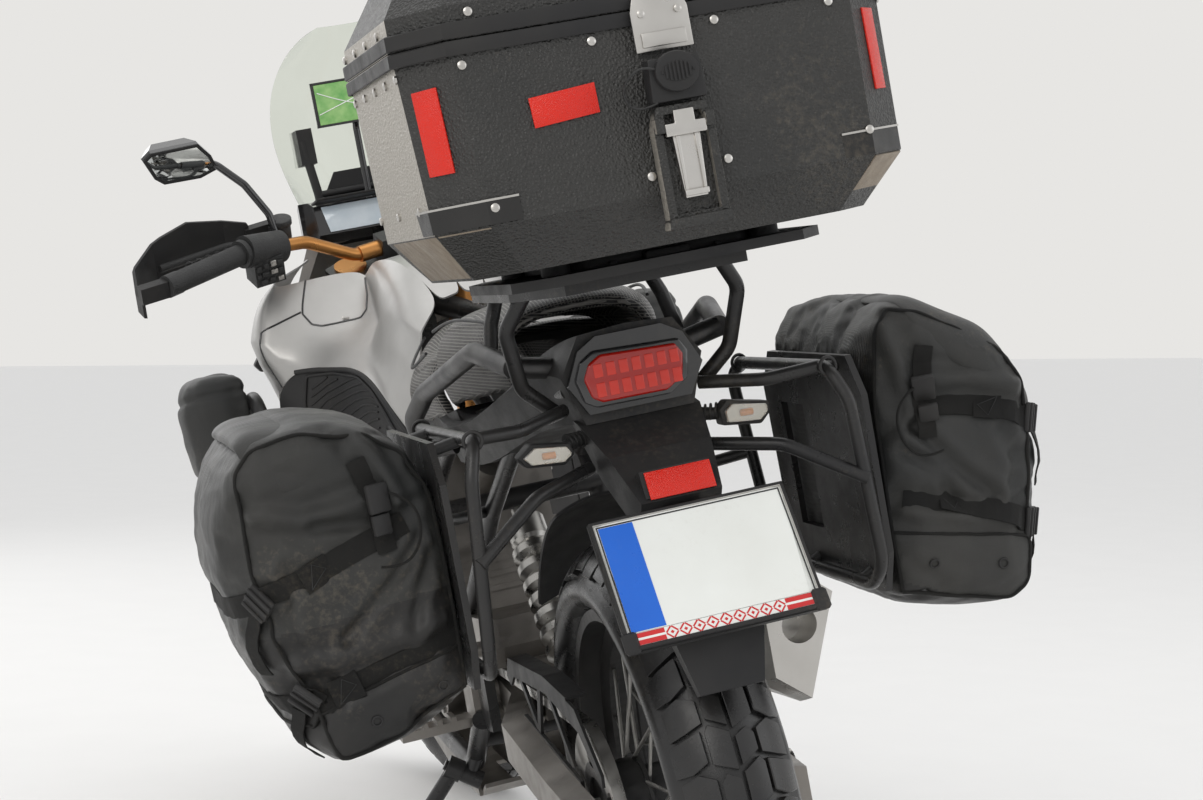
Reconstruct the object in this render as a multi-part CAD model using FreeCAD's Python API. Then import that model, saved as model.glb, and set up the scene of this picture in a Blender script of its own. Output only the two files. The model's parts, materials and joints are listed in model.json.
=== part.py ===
import FreeCAD, Part
import math
import os
from FreeCAD import Vector

# An adventure motorcycle, leaning on its side stand, in millimetres.
# The pieces are drawn on an upright machine: +X is the rider's left, +Y is rearward, +Z is up, with the
# ground at Z = 0 midway between the axles. The whole machine is then leaned, set on its tyres and centred.

os.makedirs("parts", exist_ok=True)

# Stance
wheelbase = 1575.0
lean_angle = 10.9
steer_rest = 14.0
steer_left = 36.0
steer_right = 36.0

# Wheels and tyres
front_tyre_radius = 347.0
front_tyre_width = 90.0
front_rim_radius = 272.0
rear_tyre_radius = 333.0
rear_tyre_width = 150.0
rear_rim_radius = 236.0
rim_flange = 11.0
spoke_radius = 2.4
spoke_pairs = 16
front_disc_radius = 155.0
rear_disc_radius = 128.0
disc_thickness = 5.0
axle_radius = 12.5
axle_bore_radius = 7.0
running_gap = 0.1

# Steering geometry
rake = 27.5
fork_offset = 60.0
yoke_offset = 30.0
fork_spacing = 208.0
fork_upper_radius = 28.0
fork_lower_radius = 22.0
stem_radius = 14.0
head_tube_radius = 27.0
head_tube_low = 640.0
head_tube_high = 784.0
yoke_thickness = 26.0
bar_height = 838.0
bar_radius = 11.0
bar_clamp_radius = 14.3
bar_half_width = 450.0
grip_radius = 17.5

# Frame and drive
pivot_y = 215.0
pivot_z = 400.0
pivot_half_width = 109.0
pivot_plate = 15.0
cradle_x = 128.0
swingarm_half_width = 145.0
swingarm_leg = 32.0
spar_radius = 20.0
cradle_radius = 15.0
subframe_radius = 12.0
front_sprocket_radius = 34.0
rear_sprocket_radius = 104.0
chain_line = 97.0
chain_width = 15.0
chain_height = 14.0
sprocket_gap = 0.3
stand_bolt_radius = 4.2

# Luggage
case_half_width = 262.0
case_centre = -14.5
case_front = 850.0
case_rear = 1250.0
case_bevel = 50.0
case_floor_z = 1020.0
case_crease_z = 1073.0
case_joint_z = 1262.0
case_top_z = 1362.0
case_wall = 3.0
case_middle = (case_front + case_rear) / 2
case_floor_inset = 42.0
lid_gap = 1.0
pannier_inner = 258.3
pannier_outer = 490.0
pannier_front = 650.0
pannier_rear = 985.0
pannier_floor = 508.0
pannier_top = 905.0
rack_tube_radius = 8.0
crash_bar_radius = 12.7
bar_reach = 319.0
soft_gap = 0.3

# Rear plate and lamp
plate_width = 220.0
plate_height = 148.0
plate_thickness = 2.0
strip_height = 16.0
plate_top = (1078.0, 727.0)
plate_low = (1156.0, 601.0)
lamp_y = 966.0
lamp_z = 883.0

# Side stand
stand_pivot = Vector(167, 96, 262)
stand_foot_x = 300.0
stand_foot_y = 36.0
stand_foot_thickness = 8.0
stand_pin_radius = 8.0
stand_eye = 25.0
stand_eye_radius = 17.5
stand_lug = 33.0
stand_down = Vector(134, -60, -204)
stand_folded = Vector(40, 250, 12)
stand_axis = stand_down.cross(stand_folded).normalize()

half_base = wheelbase / 2
front_axle = Vector(0, -half_base, front_tyre_radius)
front_sprocket = Vector(chain_line, 150, 392)
rear_axle = Vector(0, half_base, rear_tyre_radius)
axis_x = Vector(1, 0, 0)
origin = Vector(0, 0, 0)

rake_turn = FreeCAD.Rotation(axis_x, -rake)
axis_up = rake_turn.multVec(Vector(0, 0, 1))
axis_back = rake_turn.multVec(Vector(0, 1, 0))
steer_base = front_axle + axis_back * fork_offset
steer_place = FreeCAD.Placement(steer_base, rake_turn)
steer_turned = FreeCAD.Placement(origin, FreeCAD.Rotation(Vector(0, 0, 1), steer_rest))


def block(low, high):
    size = [b - a for a, b in zip(low, high)]
    return Part.makeBox(size[0], size[1], size[2], Vector(*low))


def rod(start, end, radius):
    start, end = Vector(*start), Vector(*end)
    return Part.makeCylinder(radius, (end - start).Length, start, end - start)


def disc(x_low, x_high, centre_y, centre_z, radius, bore=0.0):
    shape = Part.makeCylinder(radius, x_high - x_low, Vector(x_low, centre_y, centre_z), axis_x)
    if bore:
        shape = shape.cut(Part.makeCylinder(bore, x_high - x_low, Vector(x_low, centre_y, centre_z), axis_x))
    return shape


def outline_face(points):
    return Part.Face(Part.makePolygon(points + [points[0]]))


def side_plate(outline, x_low, x_high):
    """A plate seen from the side: outline of (y, z), thick along X."""
    face = outline_face([Vector(x_low, y, z) for y, z in outline])
    return face.extrude(Vector(x_high - x_low, 0, 0))


def level_plate(outline, z_low, z_high):
    """A plate seen from above: outline of (x, y), thick along Z."""
    face = outline_face([Vector(x, y, z_low) for x, y in outline])
    return face.extrude(Vector(0, 0, z_high - z_low))


def cross_plate(outline, y_low, y_high):
    """A plate seen from behind: outline of (x, z), thick along Y."""
    face = outline_face([Vector(x, y_low, z) for x, z in outline])
    return face.extrude(Vector(0, y_high - y_low, 0))


def bent_path(points, bend):
    """Straight runs through the points, each corner rounded by an arc that its runs have room for."""
    points = [Vector(*p) for p in points]
    edges = []
    last = points[0]
    for before, corner, after in zip(points, points[1:], points[2:]):
        back = before - corner
        ahead = after - corner
        half_turn = (math.pi - back.getAngle(ahead)) / 2
        setback = bend * math.tan(half_turn)
        setback = min(setback, 0.45 * back.Length, 0.45 * ahead.Length)
        radius = setback / math.tan(half_turn)
        back.normalize()
        ahead.normalize()
        enter = corner + back * setback
        leave = corner + ahead * setback
        inward = back + ahead
        inward.normalize()
        middle = corner + inward * (radius / math.cos(half_turn) - radius)
        edges.append(Part.makeLine(last, enter))
        edges.append(Part.Arc(enter, middle, leave).toShape())
        last = leave
    edges.append(Part.makeLine(last, points[-1]))
    return Part.Wire(edges)


def tube(points, radius, bend=60.0):
    path = bent_path(points, bend)
    start = Vector(*points[0])
    direction = Vector(*points[1]) - start
    circle = Part.Wire(Part.makeCircle(radius, start, direction))
    return path.makePipeShell([circle], True, True)


def loft(sections, ruled=False):
    wires = [Part.makePolygon(list(points) + [points[0]]) for points in sections]
    return Part.makeLoft(wires, True, ruled)


def mirrored(shape):
    return shape.mirror(origin, axis_x)


def join(shapes):
    shapes = list(shapes)
    return shapes[0].multiFuse(shapes[1:]) if len(shapes) > 1 else shapes[0]


def pair(shape):
    """The piece and its mirror image across the machine, as separate solids."""
    return Part.makeCompound([shape, mirrored(shape)])


def turned_ring(outline, centre):
    """Closed outline of (x, radius) turned about the wheel's axis."""
    face = outline_face([Vector(x, centre.y, centre.z + r) for x, r in outline])
    return face.revolve(centre, axis_x, 360)


# Wheels

def make_tyre(centre, outer, width, rim):
    """Round crown, bulging sidewalls and beads that sit on the rim."""
    half = width / 2
    crown = half * 1.06
    bead = half * 0.66
    crown_drop = crown - math.sqrt(crown ** 2 - (half * 0.94) ** 2)
    shoulder = Vector(half * 0.94, 0, outer - crown_drop)
    waist = Vector(half, 0, (shoulder.z + rim + rim_flange) / 2)
    neck = Vector(bead, 0, rim + rim_flange + 2)
    foot = Vector(bead, 0, rim + 0.2)

    def at(v, side):
        return Vector(side * v.x, centre.y, centre.z + v.z)

    top = Vector(0, centre.y, centre.z + outer)
    edges = [
        Part.Arc(at(shoulder, -1), top, at(shoulder, 1)).toShape(),
        Part.Arc(at(shoulder, 1), at(waist, 1), at(neck, 1)).toShape(),
        Part.makeLine(at(neck, 1), at(foot, 1)),
        Part.makeLine(at(foot, 1), at(foot, -1)),
        Part.makeLine(at(foot, -1), at(neck, -1)),
        Part.Arc(at(neck, -1), at(waist, -1), at(shoulder, -1)).toShape(),
    ]
    return Part.Face(Part.Wire(edges)).revolve(centre, axis_x, 360)


def lowest_of_tyre(centre, outer, width, tilt):
    """Lowest Z of a tyre whose axle direction has the vertical share tilt."""
    crown = width / 2 * 1.06
    return centre.z - (outer - crown) * math.sqrt(1 - tilt ** 2) - crown


def make_wheel(centre, rim_radius, tyre_width, hub_radius, hub_half, flange_x):
    """Rim with a drop centre, hub with two flanges, and crossed wire spokes."""
    half = tyre_width / 2 * 0.66
    rim = turned_ring([
        (-half, rim_radius), (-half, rim_radius - 4), (-half * 0.5, rim_radius - 6),
        (-half * 0.35, rim_radius - 22), (half * 0.35, rim_radius - 22), (half * 0.5, rim_radius - 6),
        (half, rim_radius - 4), (half, rim_radius),
    ], centre)
    lips = [turned_ring([
        (side * half, rim_radius - 4), (side * (half + 5), rim_radius - 4),
        (side * (half + 5), rim_radius + rim_flange), (side * (half + 1), rim_radius + rim_flange),
        (side * (half + 1), rim_radius), (side * half, rim_radius)], centre) for side in (-1, 1)]
    hub = turned_ring([
        (-hub_half, axle_radius + running_gap), (-hub_half, hub_radius * 0.62),
        (-flange_x - 5, hub_radius * 0.66),
        (-flange_x - 5, hub_radius), (-flange_x, hub_radius), (-flange_x + 6, hub_radius * 0.7),
        (flange_x - 6, hub_radius * 0.7), (flange_x, hub_radius), (flange_x + 5, hub_radius),
        (flange_x + 5, hub_radius * 0.66), (hub_half, hub_radius * 0.62),
        (hub_half, axle_radius + running_gap),
    ], centre)
    spokes = []
    for number in range(spoke_pairs * 2):
        side = 1 if number % 2 else -1
        lead = 34 if number % 4 < 2 else -34
        rim_angle = math.radians(360.0 * (number + 0.5) / (spoke_pairs * 2))
        hub_angle = rim_angle + math.radians(lead)
        seat_x = flange_x - 1 if lead > 0 else flange_x + 6
        start = Vector(side * seat_x, centre.y + (hub_radius - 5) * math.sin(hub_angle),
                       centre.z + (hub_radius - 5) * math.cos(hub_angle))
        reach = rim_radius - 18
        end = Vector(side * half * 0.2, centre.y + reach * math.sin(rim_angle),
                     centre.z + reach * math.cos(rim_angle))
        spokes.append(rod(start, end, spoke_radius))
    return join([rim] + lips + [hub] + spokes)


def brake_disc(x_middle, centre, radius, carrier_radius, hub_reach):
    """Drilled-look ring on five carrier arms, with a boss that meets the hub."""
    low, high = x_middle - disc_thickness / 2, x_middle + disc_thickness / 2
    ring = disc(low, high, centre.y, centre.z, radius, radius * 0.76)
    carrier = disc(low, high, centre.y, centre.z, carrier_radius, carrier_radius * 0.6)
    arms = []
    for number in range(6):
        angle = math.radians(60 * number)
        inner, outer = carrier_radius * 0.85, radius * 0.8
        start = (x_middle, centre.y + inner * math.sin(angle), centre.z + inner * math.cos(angle))
        end = (x_middle, centre.y + outer * math.sin(angle + 0.2), centre.z + outer * math.cos(angle + 0.2))
        arms.append(rod(start, end, disc_thickness / 2))
    boss = disc(min(x_middle, hub_reach), max(x_middle, hub_reach), centre.y, centre.z,
                carrier_radius * 0.75, carrier_radius * 0.5)
    return [ring, carrier, boss] + arms


wheel_local = Vector(0, -fork_offset, 0)


def make_front_wheel():
    wheel = make_wheel(wheel_local, front_rim_radius, front_tyre_width, 42, 74, 32)
    discs = brake_disc(68, wheel_local, front_disc_radius, 42, 30)
    return join([wheel] + discs + [mirrored(shape) for shape in discs])


def make_rear_wheel():
    wheel = make_wheel(rear_axle, rear_rim_radius, rear_tyre_width, 62, 96, 42)
    rotor = brake_disc(-88, rear_axle, rear_disc_radius, 58, -40)
    low, high = chain_line - 3, chain_line + 3
    plate = disc(low, high, rear_axle.y, rear_axle.z, rear_sprocket_radius, 44)
    windows = []
    for number in range(5):
        angle = math.radians(72 * number)
        windows.append(disc(low, high, rear_axle.y + 74 * math.sin(angle),
                            rear_axle.z + 74 * math.cos(angle), 17))
    carrier = disc(40, low + 1, rear_axle.y, rear_axle.z, 58, 40)
    return join([wheel, plate.cut(join(windows)), carrier] + rotor)


# Steering, drawn about the steering axis: X left, Y back, Z up along the axis

def make_fork_yokes():
    leg_x = fork_spacing / 2
    reach = fork_upper_radius + 12
    yokes = []
    for low in (head_tube_low - 4 - yoke_thickness, head_tube_high + 4):
        outline = [(-leg_x - reach, -yoke_offset + 18), (-leg_x, -yoke_offset + 36), (-28, 28), (28, 28),
                   (leg_x, -yoke_offset + 36), (leg_x + reach, -yoke_offset + 18),
                   (leg_x + reach, -yoke_offset - 18), (leg_x, -yoke_offset - 36), (0, -yoke_offset - 14),
                   (-leg_x, -yoke_offset - 36), (-leg_x - reach, -yoke_offset - 18)]
        yokes.append(level_plate(outline, low, low + yoke_thickness))
    stem = rod((0, 0, head_tube_low - 10), (0, 0, head_tube_high + yoke_thickness + 12), stem_radius)
    shape = join(yokes + [stem])
    for side in (-1, 1):
        leg = rod((side * leg_x, -yoke_offset, 500), (side * leg_x, -yoke_offset, 900), fork_upper_radius)
        shape = shape.cut(leg)
    top = head_tube_high + 4 + yoke_thickness
    for side in (-1, 1):
        riser = block((side * 38 - 13, -40, top), (side * 38 + 13, -4, bar_height + 20))
        shape = shape.fuse(riser)
    return shape.cut(rod((-70, -22, bar_height), (70, -22, bar_height), bar_clamp_radius))


def make_fork_legs():
    leg_x = fork_spacing / 2
    upper = rod((leg_x, -yoke_offset, 290), (leg_x, -yoke_offset, head_tube_high + yoke_thickness + 8),
                fork_upper_radius)
    collar = rod((leg_x, -yoke_offset, 276), (leg_x, -yoke_offset, 300), fork_upper_radius + 3)
    lower = rod((leg_x, -yoke_offset, -10), (leg_x, -yoke_offset, 290), fork_lower_radius)
    lug = block((leg_x - 20, -fork_offset - 26, -30), (leg_x + 22, -yoke_offset + 18, 42))
    caliper = side_plate([(-30, 60), (62, 40), (72, 128), (30, 150), (-30, 140)], 54, leg_x - 2)
    rotor_room = disc(62, 74, -fork_offset, 0, front_disc_radius + 8)
    leg = join([upper, collar, lower, lug, caliper]).cut(rotor_room)
    leg = leg.cut(disc(leg_x - 30, leg_x + 40, -fork_offset, 0, axle_radius))
    return Part.makeCompound([leg, mirrored(leg)])


def make_front_axle():
    reach = fork_spacing / 2 + 26
    return disc(-reach, reach, -fork_offset, 0, axle_radius, axle_bore_radius)


def make_front_fender():
    """A short guard close over the tyre, with stays down to the fork legs."""
    centre = Vector(0, -fork_offset, 0)
    inner = front_tyre_radius + 18
    outline = [(-58, inner - 44), (-62, inner - 46), (-64, inner - 12), (-40, inner + 4), (40, inner + 4),
               (64, inner - 12), (62, inner - 46), (58, inner - 44), (59, inner - 13), (38, inner),
               (-38, inner), (-59, inner - 13)]
    face = outline_face([Vector(x, centre.y, centre.z + r) for x, r in outline])
    shell = face.revolve(centre, axis_x, 100)
    shell.rotate(centre, axis_x, -62)
    stay = side_plate([(-46, 210), (-14, 210), (-14, 300), (-60, 332), (-92, 334), (-60, 262)], 60, 80)
    return join([shell, stay, mirrored(stay)])


def bar_route(side):
    return [(0, -22, bar_height), (side * 95, -22, bar_height), (side * 185, -20, 893),
            (side * 300, 14, 926), (side * bar_half_width, 64, 937)]


def make_handlebar():
    halves = [tube(bar_route(side), bar_radius, 50) for side in (-1, 1)]
    thick = rod((-88, -22, bar_height), (88, -22, bar_height), bar_clamp_radius)
    return join(halves + [thick])


def make_grips():
    """Rubber grip, end weight, switch housing and lever on each side."""
    parts = []
    for side in (-1, 1):
        route = bar_route(side)
        inner, outer = Vector(*route[3]), Vector(*route[4])
        along = outer - inner
        along.normalize()
        start, stop = inner + along * 8, outer - along * 10
        grip = Part.makeCylinder(grip_radius, (stop - start).Length, start, along)
        collar = Part.makeCylinder(grip_radius + 6, 9, start, along)
        weight = Part.makeCylinder(grip_radius + 1, 24, outer - along * 10, along)
        housing_start = Vector(side * 236, -4, 908)
        housing_along = inner - housing_start
        housing = Part.makeCylinder(27, housing_along.Length + 8, housing_start, housing_along)
        pod = block((min(side * 248, side * 300), -8, 866), (max(side * 248, side * 300), 34, 912))
        lever_route = [(side * 262, -30, 905), (side * 300, -62, 906), (side * 400, -42, 914),
                       (side * 436, -34, 917)]
        lever = tube(lever_route, 6.5, 30)
        clamp = block((min(side * 244, side * 276), -40, 894), (max(side * 244, side * 276), 0, 918))
        parts.append(join([grip, collar, weight, housing, pod, clamp, lever]))
    bar = make_handlebar()
    return Part.makeCompound([shape.cut(bar) for shape in parts])


def make_mirrors():
    mirrors = []
    for side in (-1, 1):
        stem = tube([(side * 230, -30, 918), (side * 232, -44, 950), (side * 258, -70, 1002),
                     (side * 290, -98, 1036), (side * 322, -112, 1052)], 6.5, 30)
        # Back shell and glass rim: (x, z) seen from the rider, thin along the line of sight
        rim = [(289, 1031), (300, 1062), (322, 1093), (404, 1100), (418, 1088), (400, 1046), (384, 1030),
               (320, 1022)]
        face = outline_face([Vector(side * x, -98, z) for x, z in rim])
        glass = face.extrude(Vector(0, 8, 0))
        back = loft([[Vector(side * x, -98, z) for x, z in rim],
                     [Vector(side * (352 + (x - 352) * 0.7), -126, 1061 + (z - 1061) * 0.7) for x, z in rim]])
        head = glass.fuse(back)
        pivot = Vector(side * 352, -98, 1061)
        head.rotate(pivot, Vector(1, 0, 0), -14)
        mirrors.append(join([head, stem]))
    return Part.makeCompound(mirrors)


def make_handguards():
    """Moulded hand guards, open behind, from the bar's inner clamp round to its end."""
    guards = []
    for side in (-1, 1):
        outer_line = [(258, -78), (300, -88), (365, -80), (440, -52), (492, -4), (508, 44), (508, 70)]
        inner_line = [(503, 70), (503, 46), (488, -1), (438, -47), (364, -75), (301, -83), (260, -73)]
        wall = level_plate([(side * x, y) for x, y in outer_line + inner_line], 862, 968)
        shape_from_front = [(250, 900), (262, 930), (365, 962), (420, 960), (486, 948), (512, 925),
                            (512, 898),
                            (470, 884), (330, 872), (262, 886)]
        keep = cross_plate([(side * x, z) for x, z in shape_from_front], -120, 90)
        shell = wall.common(keep)
        end_arm = block((min(side * 462, side * 508), 58, 922), (max(side * 462, side * 508), 76, 950))
        inner_arm = block((min(side * 212, side * 268), -84, 896), (max(side * 212, side * 268), -68, 920))
        link = block((min(side * 212, side * 228), -78, 896), (max(side * 212, side * 228), -30, 916))
        guards.append(join([shell, end_arm, inner_arm, link]))
    return guards


# Frame

def make_main_frame():
    place = steer_place
    head = rod((0, 0, head_tube_low), (0, 0, head_tube_high), head_tube_radius)
    head.Placement = place
    parts = [head]
    for side in (-1, 1):
        spar = [(side * 14, -405, 965), (side * 60, -302, 936), (side * 112, -215, 896),
                (side * 134, -60, 820),
                (side * 132, 130, 690), (side * 132, 205, 480)]
        parts.append(tube(spar, spar_radius, 90))
        down = [(side * 14, -413, 914), (side * 40, -360, 850), (side * 96, -336, 720),
                (side * 122, -318, 420),
                (side * cradle_x, -262, 262), (side * cradle_x, 60, 252), (side * cradle_x, 205, 350)]
        parts.append(tube(down, cradle_radius, 60))
        plate = side_plate([(168, 330), (258, 340), (266, 440), (240, 520), (176, 500), (160, 420)],
                           min(side * pivot_half_width, side * (pivot_half_width + pivot_plate)),
                           max(side * pivot_half_width, side * (pivot_half_width + pivot_plate)))
        parts.append(plate)
    parts.append(rod((-cradle_x, 140, 304), (cradle_x, 140, 304), 11))
    parts.append(rod((-130, 150, 660), (130, 150, 660), 16))
    parts.append(side_plate([(-404, 900), (-372, 880), (-340, 930), (-390, 965)], -18, 18))
    nose_stay = [(-435, 942), (-575, 1014), (-606, 1040), (-606, 1100), (-560, 1100), (-555, 1054),
                 (-414, 981)]
    parts.append(side_plate(nose_stay, -18, 18))
    lug_start = stand_pivot - stand_axis * (stand_eye / 2 + 0.5 + stand_lug)
    parts.append(Part.makeCylinder(stand_pin_radius, stand_lug + stand_eye + 4.5, lug_start, stand_axis))
    parts.append(Part.makeCylinder(14, stand_lug, lug_start, stand_axis))
    parts.append(rod(stand_pivot - stand_axis * 26, (cradle_x, 100, 276), 11))
    bearing = rod((0, 0, head_tube_low - 1), (0, 0, head_tube_high + 1), stem_radius + running_gap)
    bearing.Placement = place
    return join(parts).cut(bearing)


def make_subframe():
    parts = []
    for side in (-1, 1):
        upper = [(side * 112, 150, 712), (side * 104, 330, 800), (side * 92, 640, 835), (side * 72, 930, 868)]
        lower = [(side * 126, 226, 500), (side * 104, 480, 690), (side * 88, 740, 836)]
        parts.append(tube(upper, subframe_radius, 80))
        parts.append(tube(lower, subframe_radius, 60))
    for y, z, half in ((360, 803, 104), (640, 835, 92), (900, 864, 74)):
        parts.append(rod((-half, y, z), (half, y, z), 10))
    return join(parts)


def make_engine():
    """Crankcase, leaning cylinders, head, cam cover, side covers and sump."""
    crankcase = side_plate([(-196, 318), (-214, 400), (-196, 452), (-20, 470), (110, 476), (158, 440),
                            (160, 330),
                            (96, 284), (-120, 276)], -98, 98)
    cylinders = side_plate([(-196, 450), (-222, 600), (-58, 628), (-20, 468)], -92, 92)
    head = side_plate([(-230, 598), (-246, 690), (-54, 720), (-50, 628)], -104, 104)
    cam_cover = side_plate([(-236, 690), (-228, 736), (-84, 758), (-66, 718)], -96, 96)
    sump = side_plate([(-118, 280), (-96, 232), (60, 232), (84, 286)], -70, 70)
    covers = [
        disc(-142, -96, 40, 376, 88), disc(-152, -140, 40, 376, 66),
        disc(-132, -96, -118, 372, 64), disc(96, 134, -120, 376, 78), disc(132, 142, -120, 376, 54),
        disc(-128, -96, -176, 330, 30), disc(96, 118, 20, 440, 34),
    ]
    recess = disc(84, 140, front_sprocket.y, front_sprocket.z, front_sprocket_radius + chain_height + 8)
    recess = recess.fuse(block((84, front_sprocket.y, 330), (140, 200, 460)))
    sprocket = disc(80, chain_line + 3, front_sprocket.y, front_sprocket.z, front_sprocket_radius - 1)
    fins = [side_plate([(-206 - n * 5, 476 + n * 22), (-209 - n * 5, 484 + n * 22),
                        (-24 - n * 6, 506 + n * 22), (-22 - n * 6, 498 + n * 22)], -97, 97) for n in range(5)]
    intake = rod((0, -62, 676), (0, 20, 716), 34)
    return join([crankcase, cylinders, head, cam_cover, sump,
                 intake] + covers + fins).cut(recess).fuse(sprocket)


def make_radiators():
    core = block((78, -402, 500), (222, -372, 780))
    grooves = [block((84, -403, 520 + 16 * n), (216, -399, 526 + 16 * n)) for n in range(16)]
    tank = block((214, -406, 492), (232, -368, 790))
    shape = core.cut(join(grooves)).fuse(tank)
    arms = [rod((x, -374, z), (x, y, z), 6) for x, y, z in ((100, -330, 700), (114, -322, 540))]
    return pair(join([shape] + arms))


def make_skid_plate():
    """Bent plate under the engine with drain and weight-saving slots."""
    outline = [(-352, 396), (-358, 392), (-330, 236), (-140, 206), (80, 206), (120, 226), (118, 232),
               (78, 212),
               (-139, 212), (-325, 241)]
    plate = side_plate(outline, -128, 128)
    slots = [block((-80 + 60 * n, -90, 200), (-50 + 60 * n, 40, 220)) for n in range(3)]
    side_wall = side_plate([(-330, 236), (-140, 206), (80, 206), (60, 262), (-120, 268), (-300, 300)], 128,
                           133)
    wing = plate.cut(join(slots))
    return join([wing, side_wall, mirrored(side_wall)])


# Bodywork: each row of a table is one section of (y, then x and z of its corners)

def body_section(y, corners):
    right = [Vector(-x, y, z) for x, z in reversed(corners) if x > 0]
    left = [Vector(x, y, z) for x, z in corners]
    return left + right


def make_tank_cover():
    rows = [
        (-282, [(0, 1036), (104, 1024), (150, 974), (104, 900)]),
        (-216, [(0, 1050), (110, 1036), (168, 974), (120, 890)]),
        (-110, [(0, 1050), (108, 1036), (176, 950), (128, 860)]),
        (30, [(0, 980), (84, 966), (140, 890), (112, 820)]),
        (110, [(0, 926), (62, 916), (104, 866), (92, 812)]),
    ]
    body = loft([body_section(y, corners) for y, corners in rows])
    cap = rod((0, -150, 1050), (0, -148, 1062), 38)
    return body.fuse(cap)


def make_fairing():
    """Left side fairing: a wide shell that runs from the nose back to the knee."""
    # y, then (x, z): top inner edge, shoulder, widest line, lower edge, inner face
    rows = [
        (-560, [(152, 1072), (196, 1040), (214, 960), (196, 868), (168, 880), (152, 960)]),
        (-430, [(168, 1062), (262, 1030), (290, 950), (262, 818), (228, 830), (196, 950)]),
        (-280, [(170, 1036), (284, 1016), (314, 944), (278, 760), (240, 772), (196, 940)]),
        (-190, [(174, 990), (262, 968), (304, 924), (264, 742), (230, 754), (190, 920)]),
        (-100, [(176, 956), (236, 926), (276, 884), (246, 724), (218, 736), (180, 880)]),
        (60, [(144, 892), (158, 876), (188, 836), (176, 720), (158, 726), (144, 840)]),
    ]
    return loft([[Vector(x, y, z) for x, z in corners] for y, corners in rows])


def make_side_insert(fairing):
    """Panel let into the fairing's flank."""
    outline = [(-236, 936), (-60, 880), (38, 812), (30, 752), (-200, 770), (-262, 800)]
    prism = side_plate(outline, 120, 400)
    skin = fairing.common(prism)
    shifted = fairing.copy()
    shifted.translate(Vector(-7, 0, 0))
    return skin.cut(shifted)


def make_front_cowl():
    rows = [
        (-800, [(0, 960), (46, 952), (60, 926), (40, 900)]),
        (-730, [(0, 1040), (96, 1020), (128, 940), (92, 872)]),
        (-640, [(0, 1110), (132, 1090), (186, 980), (140, 866)]),
        (-590, [(0, 1120), (142, 1098), (196, 980), (150, 872)]),
    ]
    body = loft([body_section(y, corners) for y, corners in rows])
    hollow = loft([body_section(y + 14, [(max(x - 14, 0), 990 + (z - 990) * 0.86) for x, z in corners])
                   for y, corners in rows[1:]])
    beak_rows = [
        (-1010, [(0, 856), (14, 852), (12, 848)]),
        (-880, [(0, 902), (58, 886), (54, 878)]),
        (-700, [(0, 914), (92, 888), (86, 876)]),
    ]
    beak = loft([body_section(y, corners) for y, corners in beak_rows])
    return body.cut(hollow).fuse(beak)


def make_headlamps():
    lamps = []
    for side in (-1, 1):
        outline = [(side * 18, 968), (side * 86, 1000), (side * 104, 964), (side * 70, 926), (side * 20, 930)]
        lamps.append(cross_plate(outline, -790, -676).common(cowl_block()))
    return Part.makeCompound(lamps)


def cowl_block():
    rows = [(-800, [(0, 962), (48, 954), (62, 926), (42, 898)]),
            (-730, [(0, 1042), (98, 1022), (130, 940), (94, 870)]),
            (-640, [(0, 1112), (134, 1092), (188, 980), (142, 864)])]
    return loft([body_section(y, corners) for y, corners in rows])


def make_windscreen():
    """Curved clear sheet, wide at the mirrors and narrow at its top."""
    thickness = 4.0
    # z, half width, y at the middle, y at the edge
    rows = [(1086, 118, -664, -626), (1250, 162, -672, -612), (1350, 160, -650, -604),
            (1440, 110, -610, -578),
            (1474, 52, -592, -582)]
    wires = []
    for z, half, middle, edge in rows:
        outer = Part.Arc(Vector(-half, edge, z), Vector(0, middle, z), Vector(half, edge, z)).toShape()
        inner = Part.Arc(Vector(half, edge + thickness, z), Vector(0, middle + thickness, z),
                         Vector(-half, edge + thickness, z)).toShape()
        ends = [Part.makeLine(Vector(half, edge, z), Vector(half, edge + thickness, z)),
                Part.makeLine(Vector(-half, edge + thickness, z), Vector(-half, edge, z))]
        wires.append(Part.Wire([outer, ends[0], inner, ends[1]]))
    return Part.makeLoft(wires, True, False)


def make_screen_brackets():
    arms = []
    for side in (-1, 1):
        rail = tube([(side * 104, -596, 1076), (side * 106, -590, 1180), (side * 118, -586, 1280)], 8, 40)
        slider = block((side * 112 - 14, -650, 1236), (side * 112 + 14, -580, 1300))
        arms.append(join([rail, slider]))
    bridge = rod((-106, -590, 1180), (106, -590, 1180), 6)
    inner = cross_plate([(-104, 1084), (104, 1084), (98, 1170), (70, 1216), (-70, 1216), (-98, 1170)], -604,
                        -598)
    return join(arms + [bridge, inner])


def make_dash():
    screen = side_plate([(-572, 1100), (-568, 1168), (-500, 1158), (-486, 1106), (-520, 1090)], -132, 132)
    shroud = side_plate([(-600, 1090), (-590, 1160), (-568, 1168), (-572, 1100)], -150, 150)
    return join([screen, shroud])


def make_phone_holder():
    phone = block((-50, -464, 1290), (103, -455, 1368))
    cradle = block((-8, -476, 1300), (60, -464, 1356))
    arm = tube([(26, -470, 1322), (26, -524, 1290), (26, -526, 1150)], 6, 20)
    return join([phone, cradle, arm])


# Seats, tail and rack

def make_seat_rider():
    rows = [
        (24, [(0, 916), (52, 908), (84, 870), (74, 812)]),
        (140, [(0, 900), (96, 890), (126, 850), (108, 800)]),
        (300, [(0, 902), (142, 890), (166, 846), (128, 812)]),
        (440, [(0, 926), (146, 914), (164, 866), (120, 826)]),
    ]
    return loft([body_section(y, corners) for y, corners in rows])


def make_seat_pillion():
    rows = [
        (446, [(0, 952), (128, 940), (152, 886), (118, 836)]),
        (600, [(0, 968), (122, 956), (140, 902), (106, 852)]),
        (724, [(0, 972), (100, 960), (116, 910), (88, 864)]),
    ]
    return loft([body_section(y, corners) for y, corners in rows])


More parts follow.
